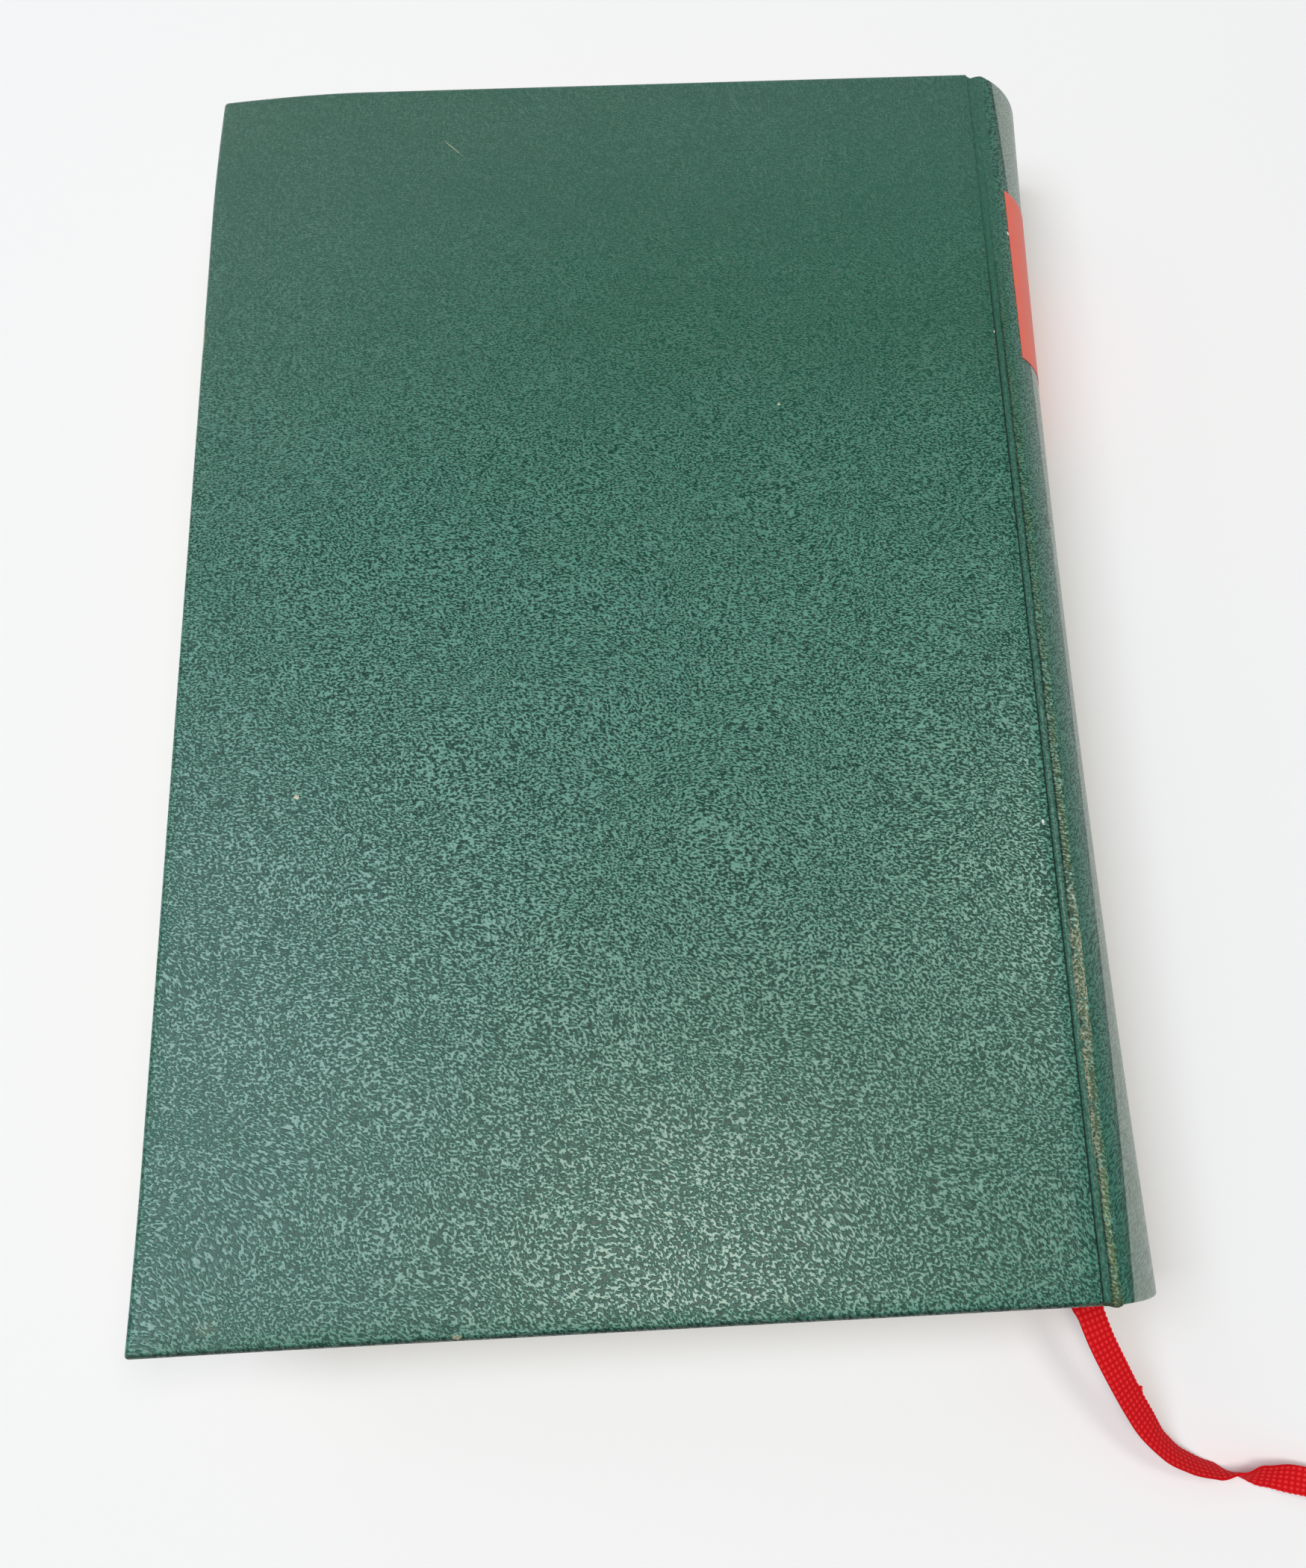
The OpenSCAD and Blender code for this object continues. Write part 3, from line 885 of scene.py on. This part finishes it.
@dataclass(frozen=True)
class Weave:
    """Woven or wound thread, drawn on a piece's flat map or on its place: its stitches stand in columns."""

    name: str
    colour: str
    shade: str
    roughness: float
    pitch_mm: tuple[float, float]
    height_mm: float
    mapped: bool = False
    gloss: float = 0.2

    def build(self) -> Material:
        """Builds the material.

        Returns:
            The material.
        """
        material, add, shader = new_material(self.name)
        x = add("SeparateXYZ", {0: add("TexCoord", out="UV" if self.mapped else "Object")})
        waves = []
        for axis, pitch in zip((x, x.node.outputs[1]), self.pitch_mm):
            turn = add("Math", {0: axis, 1: 2 * math.pi / (pitch * MM)}, operation="MULTIPLY")
            wave = add("Math", {0: turn}, operation="SINE")
            waves.append(add("Math", {0: wave, 1: 0.5, 2: 0.5}, operation="MULTIPLY_ADD"))
        height = add("Math", {0: waves[0], 1: waves[1]}, operation="MULTIPLY")
        paint = add("Mix", {0: height, 6: linear(self.shade), 7: linear(self.colour)}, 2, data_type="RGBA")
        bump = add("Bump", {"Height": height, "Strength": 1.0, "Distance": self.height_mm * MM})
        wire(shader, paint, bump, self.roughness, self.gloss)
        return material


# Sub-assemblies

@dataclass
class Case:
    """The case of the book: its coverings, boards, endpapers, and the covering and label of the spine."""

    book: Book
    edge_r: float = 0.9
    corner_r: float = 1.5
    turn_in: float = 15.0
    turn_in_steps: tuple[float, ...] = (0.12, 0.25, 0.4, 0.55, 0.7, 0.85, 1.0)
    fold_height: float = 0.66
    # Where the covering bends past the board's edge, and how the endpaper's bend leans
    fold: tuple[float, float] = (0.75, 1.3)
    fold_lean: float = 0.13
    cells: tuple[int, int] = (46, 72)
    round_steps: int = 4
    thickness: float = 0.27
    corner_drop: float = 1.8
    corner_lift: float = 0.9
    corner_reach: float = 26.0
    corner_curve: float = 1.6
    worn_len: float = 6.0
    head_nick: float = 0.55
    nick_at: tuple[float, float] = (0.9, 0.5)
    tail_swell: float = 0.35
    swell_at: tuple[float, float] = (2.1, 0.9)
    board_inset: float = 0.02
    # Over the board and under it
    board_gaps: tuple[float, float] = (0.55, 0.05)
    paper_t: float = 0.12
    paper_gap: float = 0.08
    # Start and end of the endpaper's bend: past the board's edge, and below the cover
    paper_bend: tuple[tuple[float, float], ...] = ((0.02, 2.75), (0.2, 3.05))
    hem_r: float = 0.42
    hem_gap: float = 0.4
    hem_press: float = 0.35
    label_len: float = 35.0
    label_from_head: float = 24.5
    label_share: float = 0.84
    label_t: float = 0.1
    parts: list[Piece] = field(default_factory=list)

    def bent(self, point: Vector) -> Vector:
        """Bends the back cover's outer corners as years of handling did.

        Args:
            point: A point of the flat cover, in metres.

        Returns:
            The point on the bent cover.
        """
        book = self.book
        from_fore = (point.x / MM - book.fore_x) / self.corner_reach
        for side, amount in ((1, -self.corner_drop), (-1, self.corner_lift)):
            from_end = (book.half_h - side * point.y / MM) / self.corner_reach
            near = max(0.0, 1 - from_fore - from_end)
            point = point + Vector((0, 0, amount * MM * near ** self.corner_curve))
        return point

    def worn_ends(self, point: Vector) -> Vector:
        """Wears the covering's ends at the joint: a nick at the head and a swollen fold at the tail.

        Args:
            point: A point of the flat cover, in metres.

        Returns:
            The point on the worn cover.
        """
        book = self.book
        run = point.x / MM - book.joint_x
        y = point.y / MM
        at_head = max(0.0, 1 - (book.half_h - y) / self.worn_len)
        at_tail = max(0.0, 1 - (book.half_h + y) / self.worn_len)
        nick = self.head_nick * hump(run, self.nick_at) * at_head
        swell = self.tail_swell * hump(run, self.swell_at) * at_tail
        return point - Vector((0, nick + swell, 0)) * MM

    def covering(self) -> Piece:
        """Models the back cover's covering, turned in over the board and pressed into the joint.

        Returns:
            The piece, flat and on the back cover.
        """
        book = self.book
        r = self.edge_r
        line = book.joint_line
        start = book.joint_x + line[0][0]
        inner = (book.fore_x + r, -(book.half_h - r))
        top = book.thickness
        piece = add_grid("back_covering", inner, (start, -inner[1]), top, self.cells)
        open_up(piece)
        corner = inner[0] * MM
        select(piece, "VERT", lambda v: v.co.x < corner + EPS and abs(abs(v.co.y) + inner[1] * MM) < EPS)
        bpy.ops.mesh.bevel(affect="VERTICES", offset=(self.corner_r - r) * MM, segments=3)
        side = start * MM - EPS
        select(piece, "EDGE", lambda e: e.is_boundary and middle(e).x < side)
        half_x = start - inner[0]
        half_y = -inner[1]
        steps = [(r * math.sin(a), r * (1 - math.cos(a))) for a in self._quarter()]
        low = book.turn_bottom - r
        steps += [(r * math.cos(a), low + r * math.sin(a)) for a in [0.0, *self._quarter()]]
        steps += [(r - self.turn_in * share, book.turn_bottom) for share in self.turn_in_steps]
        out, depth = 0.0, 0.0
        for new_out, new_depth in steps:
            extrude_edges((0, 0, depth - new_depth))
            wider = (half_x + new_out) / (half_x + out)
            resize((wider, (half_y + new_out) / (half_y + out), 1), (start, 0, top))
            out, depth = new_out, new_depth
        self._joint(piece, start, top)
        face_up(piece)
        return piece

    def _quarter(self) -> list[float]:
        """Returns the angles of the steps of a quarter round, without its start."""
        return [math.pi / 2 * (i + 1) / self.round_steps for i in range(self.round_steps)]

    def _joint(self, piece: Piece, start: float, top: float) -> None:
        """Extends the covering over the joint, where its turn-ins close up on it.

        Args:
            piece: The covering, in edit mode.
            start: Where the flat cover ends along X.
            top: Height of the flat cover.
        """
        book = self.book
        select(piece, "EDGE", on_rim(0, start * MM))
        x, depth, height = start, 0.0, book.turn_bottom
        for run, new_depth in book.joint_line[1:]:
            new_x = book.joint_x + run
            new_height = book.turn_bottom - new_depth if run <= 0 else self.fold_height
            extrude_edges((new_x - x, 0, depth - new_depth))
            resize((1, 1, new_height / height), (new_x, 0, top - new_depth))
            x, depth, height = new_x, new_depth, new_height

    def finish_cover(self, piece: Piece, side: str, material: Material) -> None:
        """Thickens and dresses a covering.

        Args:
            piece: The covering's outer surface.
            side: back or front.
            material: The covering's material.
        """
        apply_modifier(piece, "SOLIDIFY", thickness=self.thickness * MM, offset=-1.0)
        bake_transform(piece)
        declare(piece, material, f"{side}_cloth", sharp=50)
        self.parts.append(piece)

    def board(self, material: Material) -> Piece:
        """Models the back board, bent with its covering.

        Args:
            material: Grey board.

        Returns:
            The piece.
        """
        low, high = (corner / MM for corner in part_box("back_board"))
        inset = self.board_inset
        piece = add_grid(
            "bent_back_board", (low.x + inset, low.y + inset), (high.x, high.y - inset),
            high.z - self.board_gaps[0], (40, 60))
        face_up(piece)
        thickness = high.z - low.z - sum(self.board_gaps)
        apply_modifier(piece, "SOLIDIFY", thickness=thickness * MM, offset=-1.0)
        reshape(piece, self.bent)
        declare(piece, material, "back_board", "back_cover")
        self.parts.append(piece)
        return piece

    def endpaper(self) -> Piece:
        """Models the back endpaper's pasted half, down to the foot of the pages' shoulder.

        Returns:
            The piece, flat.
        """
        book = self.book
        low, high = (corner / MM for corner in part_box("back_pastedown"))
        edge = high.x + self.paper_gap
        inside = book.thickness - book.turn_bottom - 0.03
        piece = add_grid("back_endpaper", (low.x, -high.y), (edge, high.y), inside, (44, 60))
        open_up(piece)
        select(piece, "EDGE", on_rim(0, edge * MM))
        top = book.thickness
        under = book.cloth + self.paper_gap
        # Past the board's edge and below the cover: up to the joint, under it, and down the shoulder
        route = [
            (0.02, book.turn_bottom - 0.5), (0.06, 1.6), (0.15, book.joint_depth(0.15) + under + 0.25),
            (0.6, book.joint_depth(0.6) + under), (1.1, book.joint_depth(1.1) + under),
            (1.45, book.joint_depth(1.45) + under), (1.6, book.joint_depth(1.5) + under + 0.12),
            (1.5, 1.62), (0.9, 2.3), (0.25, 3.0),
        ]
        x, z = edge, inside
        for run, depth in route:
            new_x, new_z = book.joint_x + run, top - depth
            extrude_edges((new_x - x, 0, new_z - z))
            x, z = new_x, new_z
        face_up(piece)
        piece.data.flip_normals()
        return piece

    def finish_endpaper(self, piece: Piece, side: str, material: Material) -> None:
        """Thickens and dresses an endpaper.

        Args:
            piece: The endpaper's surface that faces the pages.
            side: back or front.
            material: Endpaper.
        """
        apply_modifier(piece, "SOLIDIFY", thickness=self.paper_t * MM, offset=0.0)
        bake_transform(piece)
        declare(piece, material, f"{side}_pastedown", sharp=50)
        self.parts.append(piece)

    def spine_covering(self, material: Material) -> Piece:
        """Models the spine's covering as a flat strip with hems, and wraps it round the spine.

        Args:
            material: Leatherette, stretched.

        Returns:
            The piece.
        """
        book = self.book
        half_s = book.spine_half
        fold = self.hem_r
        half_y = book.half_h - fold
        piece = add_grid("spine_covering", (-half_s, -half_y), (half_s, half_y), 0, (44, 72))
        give_flat_map(piece, lambda co: (co.x, co.y))
        open_up(piece)
        height = book.cloth * 2 + self.hem_gap
        for end in (1, -1):
            select(piece, "EDGE", on_rim(1, end * half_y * MM))
            y, z = half_y, 0.0
            steps = [(half_y + fold * math.sin(a), -height / 2 * (1 - math.cos(a))) for a in self._quarter()]
            steps += [(half_y + fold * math.cos(a), -height / 2 * (1 + math.sin(a))) for a in self._quarter()]
            steps += [(half_y - self.turn_in / 2, -height), (half_y - self.turn_in, -height)]
            for new_y, new_z in steps:
                extrude_edges((0, end * (new_y - y), new_z - z))
                y, z = new_y, new_z
        face_up(piece)

        def wrap(co: Vector) -> Vector:
            """Wraps a point of the flat strip round the spine, pressed flatter beside the joints."""
            share = -co.x / MM / half_s
            press = 1 - self.hem_press * max(0.0, 10 * abs(share) - 9)
            return book.on_spine(share, co.y / MM, -co.z / MM * press)

        reshape(piece, wrap)
        face_outwards(piece)
        apply_modifier(piece, "SOLIDIFY", thickness=self.thickness * MM, offset=-1.0)
        declare(piece, material, "spine_cloth", "block", 50)
        self.parts.append(piece)
        return piece

    def label(self, material: Material) -> Piece:
        """Models the plain label on the spine.

        Args:
            material: Coated label paper.

        Returns:
            The piece.
        """
        book = self.book
        half_s = book.spine_half * self.label_share
        head = book.half_h - self.label_from_head
        piece = add_grid("spine_label", (-half_s, head - self.label_len), (half_s, head), 0, (36, 36))
        face_up(piece)
        reshape(piece, lambda co: book.on_spine(-co.x / MM / book.spine_half, co.y / MM, -self.label_t))
        apply_modifier(piece, "SOLIDIFY", thickness=self.label_t * MM, offset=-1.0)
        declare(piece, material, "title_label", "block")
        self.parts.append(piece)
        return piece


@dataclass
class Endbands:
    """The beads of thread wound at the head and the tail of the pages."""

    book: Book
    bead_r: float = 1.0
    thread_r: float = 0.24
    step_mm: float = 0.46
    turns: int = 44
    parts: list[Piece] = field(default_factory=list)

    def build(self, side: str, material: Material) -> Piece:
        """Models one endband: a cord with thread wound round it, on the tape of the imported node.

        Args:
            side: head or tail.
            material: Wound thread.

        Returns:
            The piece.
        """
        node = f"{side}band"
        low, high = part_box(node)
        up = 1 if side == "head" else -1
        bead_y = (high.y if up > 0 else low.y) - up * self.bead_r * MM
        half_chord = (high.z - low.z) / 2
        rise = high.x - low.x - self.bead_r * MM
        radius = (rise ** 2 + half_chord ** 2) / (2 * rise)
        centre = Vector((high.x - radius, bead_y, self.book.mid_z * MM))
        r = radius - self.bead_r * MM
        deselect_all()
        bpy.ops.mesh.primitive_torus_add(
            major_radius=(self.bead_r - self.thread_r) * MM, minor_radius=self.thread_r * MM,
            major_segments=14, minor_segments=6, location=(centre.x + r, centre.y, centre.z))
        thread = bpy.context.object
        step = self.step_mm * MM / r
        thread.name = f"{side}_endband"
        settle(thread)
        meshes = bmesh.new()
        for i in range(self.turns):
            copy = thread.data.copy()
            spin = Matrix.Rotation(step * ((self.turns - 1) / 2 - i), 4, "Y")
            copy.transform(Matrix.Translation(centre) @ spin @ Matrix.Translation(-centre))
            meshes.from_mesh(copy)
            bpy.data.meshes.remove(copy)
        meshes.to_mesh(thread.data)
        meshes.free()
        declare(thread, material, body="block", sharp=80)
        self.parts.append(thread)
        return thread


@dataclass
class Ribbon:
    """The free end of the ribbon marker, from the tail of the pages along the table."""

    width: float = 4.3
    stated_width: float = 4.0
    thickness: float = 0.3
    lowest: float = 0.25
    crown: float = 0.12
    loop_pitch: float = 0.9
    loop_out: float = 0.08
    snag_out: float = 0.45
    curl_up: float = 0.5
    across: int = 14
    samples: int = 260
    # Points of the ribbon's middle line
    route: tuple[tuple[float, float, float], ...] = (
        (64.6, -105, 15), (64.6, -108, 15), (65.3, -111, 14.7), (66.7, -115, 13.8),
        (69.1, -120, 11.9), (71.8, -125, 9.4), (74.4, -129, 7.1), (77.2, -132.2, 5.2),
        (80.7, -134.6, 3.6), (85, -136.3, 2.4), (89.3, -137.2, 2.1), (92.8, -137.6, 2.1),
        (96.4, -138.1, 2.1), (100, -138.9, 2.1), (106, -140.8, 2.1), (112, -143.3, 2.1),
        (118, -146.5, 2.1),
    )
    # Distances from the exit, each with the ribbon's turn in degrees
    rolls: tuple[tuple[float, float], ...] = (
        (0.0, 0.0), (12.0, 4.0), (25.0, 16.0), (32.0, 42.0), (37.0, 56.0), (42.0, 68.0),
        (46.0, 104.0), (50.0, 142.0), (55.0, 172.0), (62.0, 180.0), (90.0, 180.0),
    )
    snag_at: tuple[float, float] = (21.0, 0.5)
    curl_at: tuple[float, float] = (4.2, 1.2)

    def line(self) -> list[Vector]:
        """Draws the ribbon's middle line as a smooth curve through its route.

        Returns:
            Evenly spaced points in metres.
        """
        raw = [Vector(p) * MM for p in self.route]
        ends = [2 * raw[0] - raw[1], *raw, 2 * raw[-1] - raw[-2]]
        fine = []
        for a, b, c, d in zip(ends, ends[1:], ends[2:], ends[3:]):
            for i in range(24):
                t = i / 24
                fine.append(0.5 * (2 * b + (c - a) * t + (2 * a - 5 * b + 4 * c - d) * t ** 2
                                   + (3 * b - a - 3 * c + d) * t ** 3))
        fine.append(raw[-1])
        lengths = [0.0]
        for p, q in zip(fine, fine[1:]):
            lengths.append(lengths[-1] + (q - p).length)
        even, k = [], 0
        for i in range(self.samples + 1):
            want = lengths[-1] * i / self.samples
            while k < len(fine) - 2 and lengths[k + 1] < want:
                k += 1
            span = lengths[k + 1] - lengths[k]
            even.append(fine[k].lerp(fine[k + 1], min(1.0, (want - lengths[k]) / span)))
        return even

    def build(self, material: Material) -> Piece:
        """Args:
            material: Woven ribbon.

        Returns:
            The piece.
        """
        line = self.line()
        length = sum((q - p).length for p, q in zip(line, line[1:]))
        half = self.width / 2
        piece = add_grid("ribbon_end", (-half, 0), (half, length / MM), 0, (self.across, self.samples))
        give_flat_map(piece, lambda co: (co.x, co.y))
        face_up(piece)
        step = length / self.samples

        def lay(co: Vector) -> Vector:
            """Lays a point of the flat ribbon along its line."""
            k = min(self.samples, max(0, round(co.y / step)))
            along = (line[min(k + 1, self.samples)] - line[max(k - 1, 0)]).normalized()
            side = along.cross(Vector((0, 0, 1))).normalized()
            up = side.cross(along)
            distance = co.y / MM
            roll = math.radians(read_between(self.rolls, distance, eased=True))
            across = side * math.cos(roll) + up * math.sin(roll)
            normal = up * math.cos(roll) - side * math.sin(roll)
            share = co.x / (half * MM)
            loops = self.loop_out * math.sin(2 * math.pi * distance / self.loop_pitch)
            snag = self.snag_out * hump(distance, self.snag_at)
            knit = max(0.0, -share - 0.8) / 0.2 * (loops + snag)
            curl = self.curl_up * max(0.0, share - 0.4) / 0.6 * hump(distance, self.curl_at)
            crown = self.crown * (1 - share ** 2)
            place = line[k] + across * (co.x + (curl - knit) * MM) + normal * ((crown + curl) * MM)
            return Vector((place.x, place.y, max(place.z, self.lowest * MM)))

        reshape(piece, lay)
        apply_modifier(piece, "SOLIDIFY", thickness=self.thickness * MM, offset=0.0)
        declare(piece, material, "ribbon_tail", "block", 60)
        LOG.info("ribbon end: %.1f mm long", length / MM)
        return piece


@dataclass(frozen=True)
class Lamp:
    """A square soft light that faces the book: its place and side in metres, its power in watts."""

    name: str
    place: tuple[float, float, float]
    side: float
    power: float
    colour: str


@dataclass
class Studio:
    """The pale floor, the soft lights and the camera at the photograph's angle."""

    focal_mm: float = 30.0
    sensor_mm: float = 36.0
    shift: tuple[float, float] = (-0.0676, -0.0042)
    eye: tuple[float, float, float] = (12.52, -82.86, 229.68)
    turn: tuple[float, float, float] = (15.617, -0.825, -2.566)
    floor_size: float = 4.0
    floor_z: float = -0.03
    glow: float = 0.31
    glow_colour: str = "#F3F3F3"
    lamps: tuple[Lamp, ...] = (
        Lamp("window", (-0.88, 0.1, 1.83), 0.92, 17.5, "#E6F0FC"),
        Lamp("ceiling_lamp", (-0.07, -0.3, 2.0), 0.5, 12.0, "#FFF6EA"),
        Lamp("far_window", (-1.5, 1.3, 1.4), 1.0, 3.0, "#FFF8F0"),
        Lamp("right_lamp", (0.7, 0.3, 2.0), 0.5, 7.5, "#FFFAF4"),
    )

    def camera(self) -> Piece:
        """Adds the camera.

        Returns:
            The camera object.
        """
        data = bpy.data.cameras.new("camera")
        data.lens = self.focal_mm
        data.sensor_width = self.sensor_mm
        data.sensor_fit = "AUTO"
        data.shift_x, data.shift_y = self.shift
        data.clip_start = 0.01
        camera = bpy.data.objects.new("camera", data)
        bpy.context.scene.collection.objects.link(camera)
        camera.location = Vector(self.eye) * MM
        camera.rotation_mode = "YXZ"
        camera.rotation_euler = Euler([math.radians(a) for a in self.turn], "YXZ")
        bpy.context.scene.camera = camera
        return camera

    def floor(self, material: Material) -> Piece:
        """Adds the floor.

        Args:
            material: Pale paint.

        Returns:
            The floor.
        """
        deselect_all()
        bpy.ops.mesh.primitive_plane_add(size=self.floor_size, location=(0, 0, self.floor_z * MM))
        piece = bpy.context.object
        piece.name = "floor"
        settle(piece)
        dress(piece, material)
        return piece

    def area(self, lamp: Lamp) -> Piece:
        """Adds a soft light.

        Args:
            lamp: The light's values.

        Returns:
            The light.
        """
        data = bpy.data.lights.new(lamp.name, "AREA")
        data.shape = "SQUARE"
        data.size = lamp.side
        data.energy = lamp.power
        data.color = linear(lamp.colour)[:3]
        light = bpy.data.objects.new(lamp.name, data)
        bpy.context.scene.collection.objects.link(light)
        light.location = lamp.place
        light.rotation_euler = (-Vector(lamp.place)).to_track_quat("-Z", "Y").to_euler()
        return light

    def lights(self) -> None:
        """Adds the lights and the world's even glow."""
        scene = bpy.context.scene
        scene.view_settings.view_transform = "Standard"
        world = bpy.data.worlds.new("world")
        scene.world = world
        world.use_nodes = True
        back = world.node_tree.nodes["Background"]
        back.inputs[0].default_value = linear(self.glow_colour)
        back.inputs[1].default_value = self.glow
        for lamp in self.lamps:
            self.area(lamp)


def dress_nodes(materials: dict[str, Material], hidden: Iterable[str]) -> None:
    """Gives the CAD nodes that stay in view their materials.

    Args:
        materials: A material for each material slot of the record.
        hidden: The nodes that scene pieces stand for.
    """
    slots = {part["node"]: part["material_slot"] for part in frame["record"]["subparts"]}
    for name, node in frame["nodes"].items():
        if name in hidden:
            continue
        dress(node, materials[slots[name]])
        LOG.info("dressed %s as %s", name, slots[name])


def main() -> None:
    """Builds the scene."""
    logging.basicConfig(level=logging.INFO, format="%(message)s")
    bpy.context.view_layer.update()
    book = read_book()
    studio = Studio()
    studio.camera()
    satin = Weave(
        "woven_rayon_ribbon", "#F2383E", "#C8060F", 0.75, (0.78, 0.95), 0.1, mapped=True, gloss=0.1).build()
    Ribbon().build(satin)

    back_marks = (
        Mark(-32.0, 94.5, 2.6, 0.14, -46, 0.5), Mark(-54.8, -27.2, 0.4, 0.38, 0, 1.0),
        Mark(24.7, 39.4, 0.25, 0.25, 0, 0.9), Mark(62.4, -36.5, 0.18, 0.5, 0, 1.0, "#E6EAE6"),
        Mark(63.3, 52.3, 0.14, 0.3, 0, 1.0, "#DDE2DC"), Mark(-28.6, -107.4, 0.7, 0.3),
        Mark(-63.9, -104.5, 1.6, 0.9, 10, 0.08),
        Mark(-74.8, 56.5, 0.3, 3.4), Mark(-65.9, 107.7, 0.6, 0.4), Mark(-51.5, 107.8, 0.8, 0.3, 0, 0.5),
        Mark(-38.4, 107.8, 0.6, 0.3, 0, 0.4), Mark(62.5, -107.9, 3.2, 0.5, 0, 0.8, "#2A3A1C"),
        Mark(66.0, -107.5, 1.0, 0.9, 0, 0.5, "#4A5A30"),
    )
    spine_marks = (
        Mark(-14.8, 74.2, 0.4, 0.35, 0, 1.0, "#F0F0EA"), Mark(-12.5, -92.5, 0.12, 0.7, 0, 0.6, "#46564E"),
    )
    covering = Leatherette(marks=back_marks).build(book, Grain.FLAT)
    front_covering = Leatherette(name="embossed_leatherette_front").build(book, Grain.FLAT)
    spine_covering = Leatherette(marks=spine_marks, lacquer=0.55, gloss=0.4).build(book, Grain.STRETCHED)
    paper = Sheeting("uncoated_endpaper", "#EFE9DA", "#DED5C0", 0.8, 0.3, 0.02).build()
    greyboard = Sheeting("grey_board", "#8E8980", "#6F6A62", 0.9, 0.4, 0.05).build()
    label_paper = Sheeting("coated_label_paper", "#F06C58", "#E8604B", 0.5, 0.25, 0.012, amount=0.6).build()
    gauze = Weave("open_gauze", "#8E8B7E", "#DDDACB", 0.85, (1.1, 1.1), 0.02).build()
    thread = Weave("wound_thread", "#4C8C72", "#2C5F4B", 0.55, (0.3, 0.3), 0.02).build()

    case = Case(book)
    back = case.covering()
    front = turned_over(back, "front_covering", book)
    reshape(back, case.bent)
    reshape(back, case.worn_ends)
    case.finish_cover(back, "back", covering)
    case.finish_cover(front, "front", front_covering)
    case.board(greyboard)
    back_paper = case.endpaper()
    front_paper = turned_over(back_paper, "front_endpaper", book)
    reshape(back_paper, case.bent)
    case.finish_endpaper(back_paper, "back", paper)
    case.finish_endpaper(front_paper, "front", paper)
    case.spine_covering(spine_covering)
    case.label(label_paper)
    bands = Endbands(book)
    bands.build("head", thread)
    bands.build("tail", thread)
    for part in case.parts + bands.parts:
        LOG.info("%s: %d faces", part.name, len(part.data.polygons))
    replaced = {name for thing in bpy.data.objects for name in thing.get("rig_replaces", [])}
    dress_nodes({
        "pages": PageEdges().build(), "endpaper": paper, "gauze": gauze, "endband": thread,
        "ribbon": satin, "covering": covering, "board": greyboard, "label": label_paper,
    }, replaced)
    studio.floor(Sheeting("pale_floor_paint", "#F2F3F3", "#EDEEF0", 0.9, 3.0, 0.05, mottle_mm=160).build())
    studio.lights()


if __name__ == "__main__":
    main()
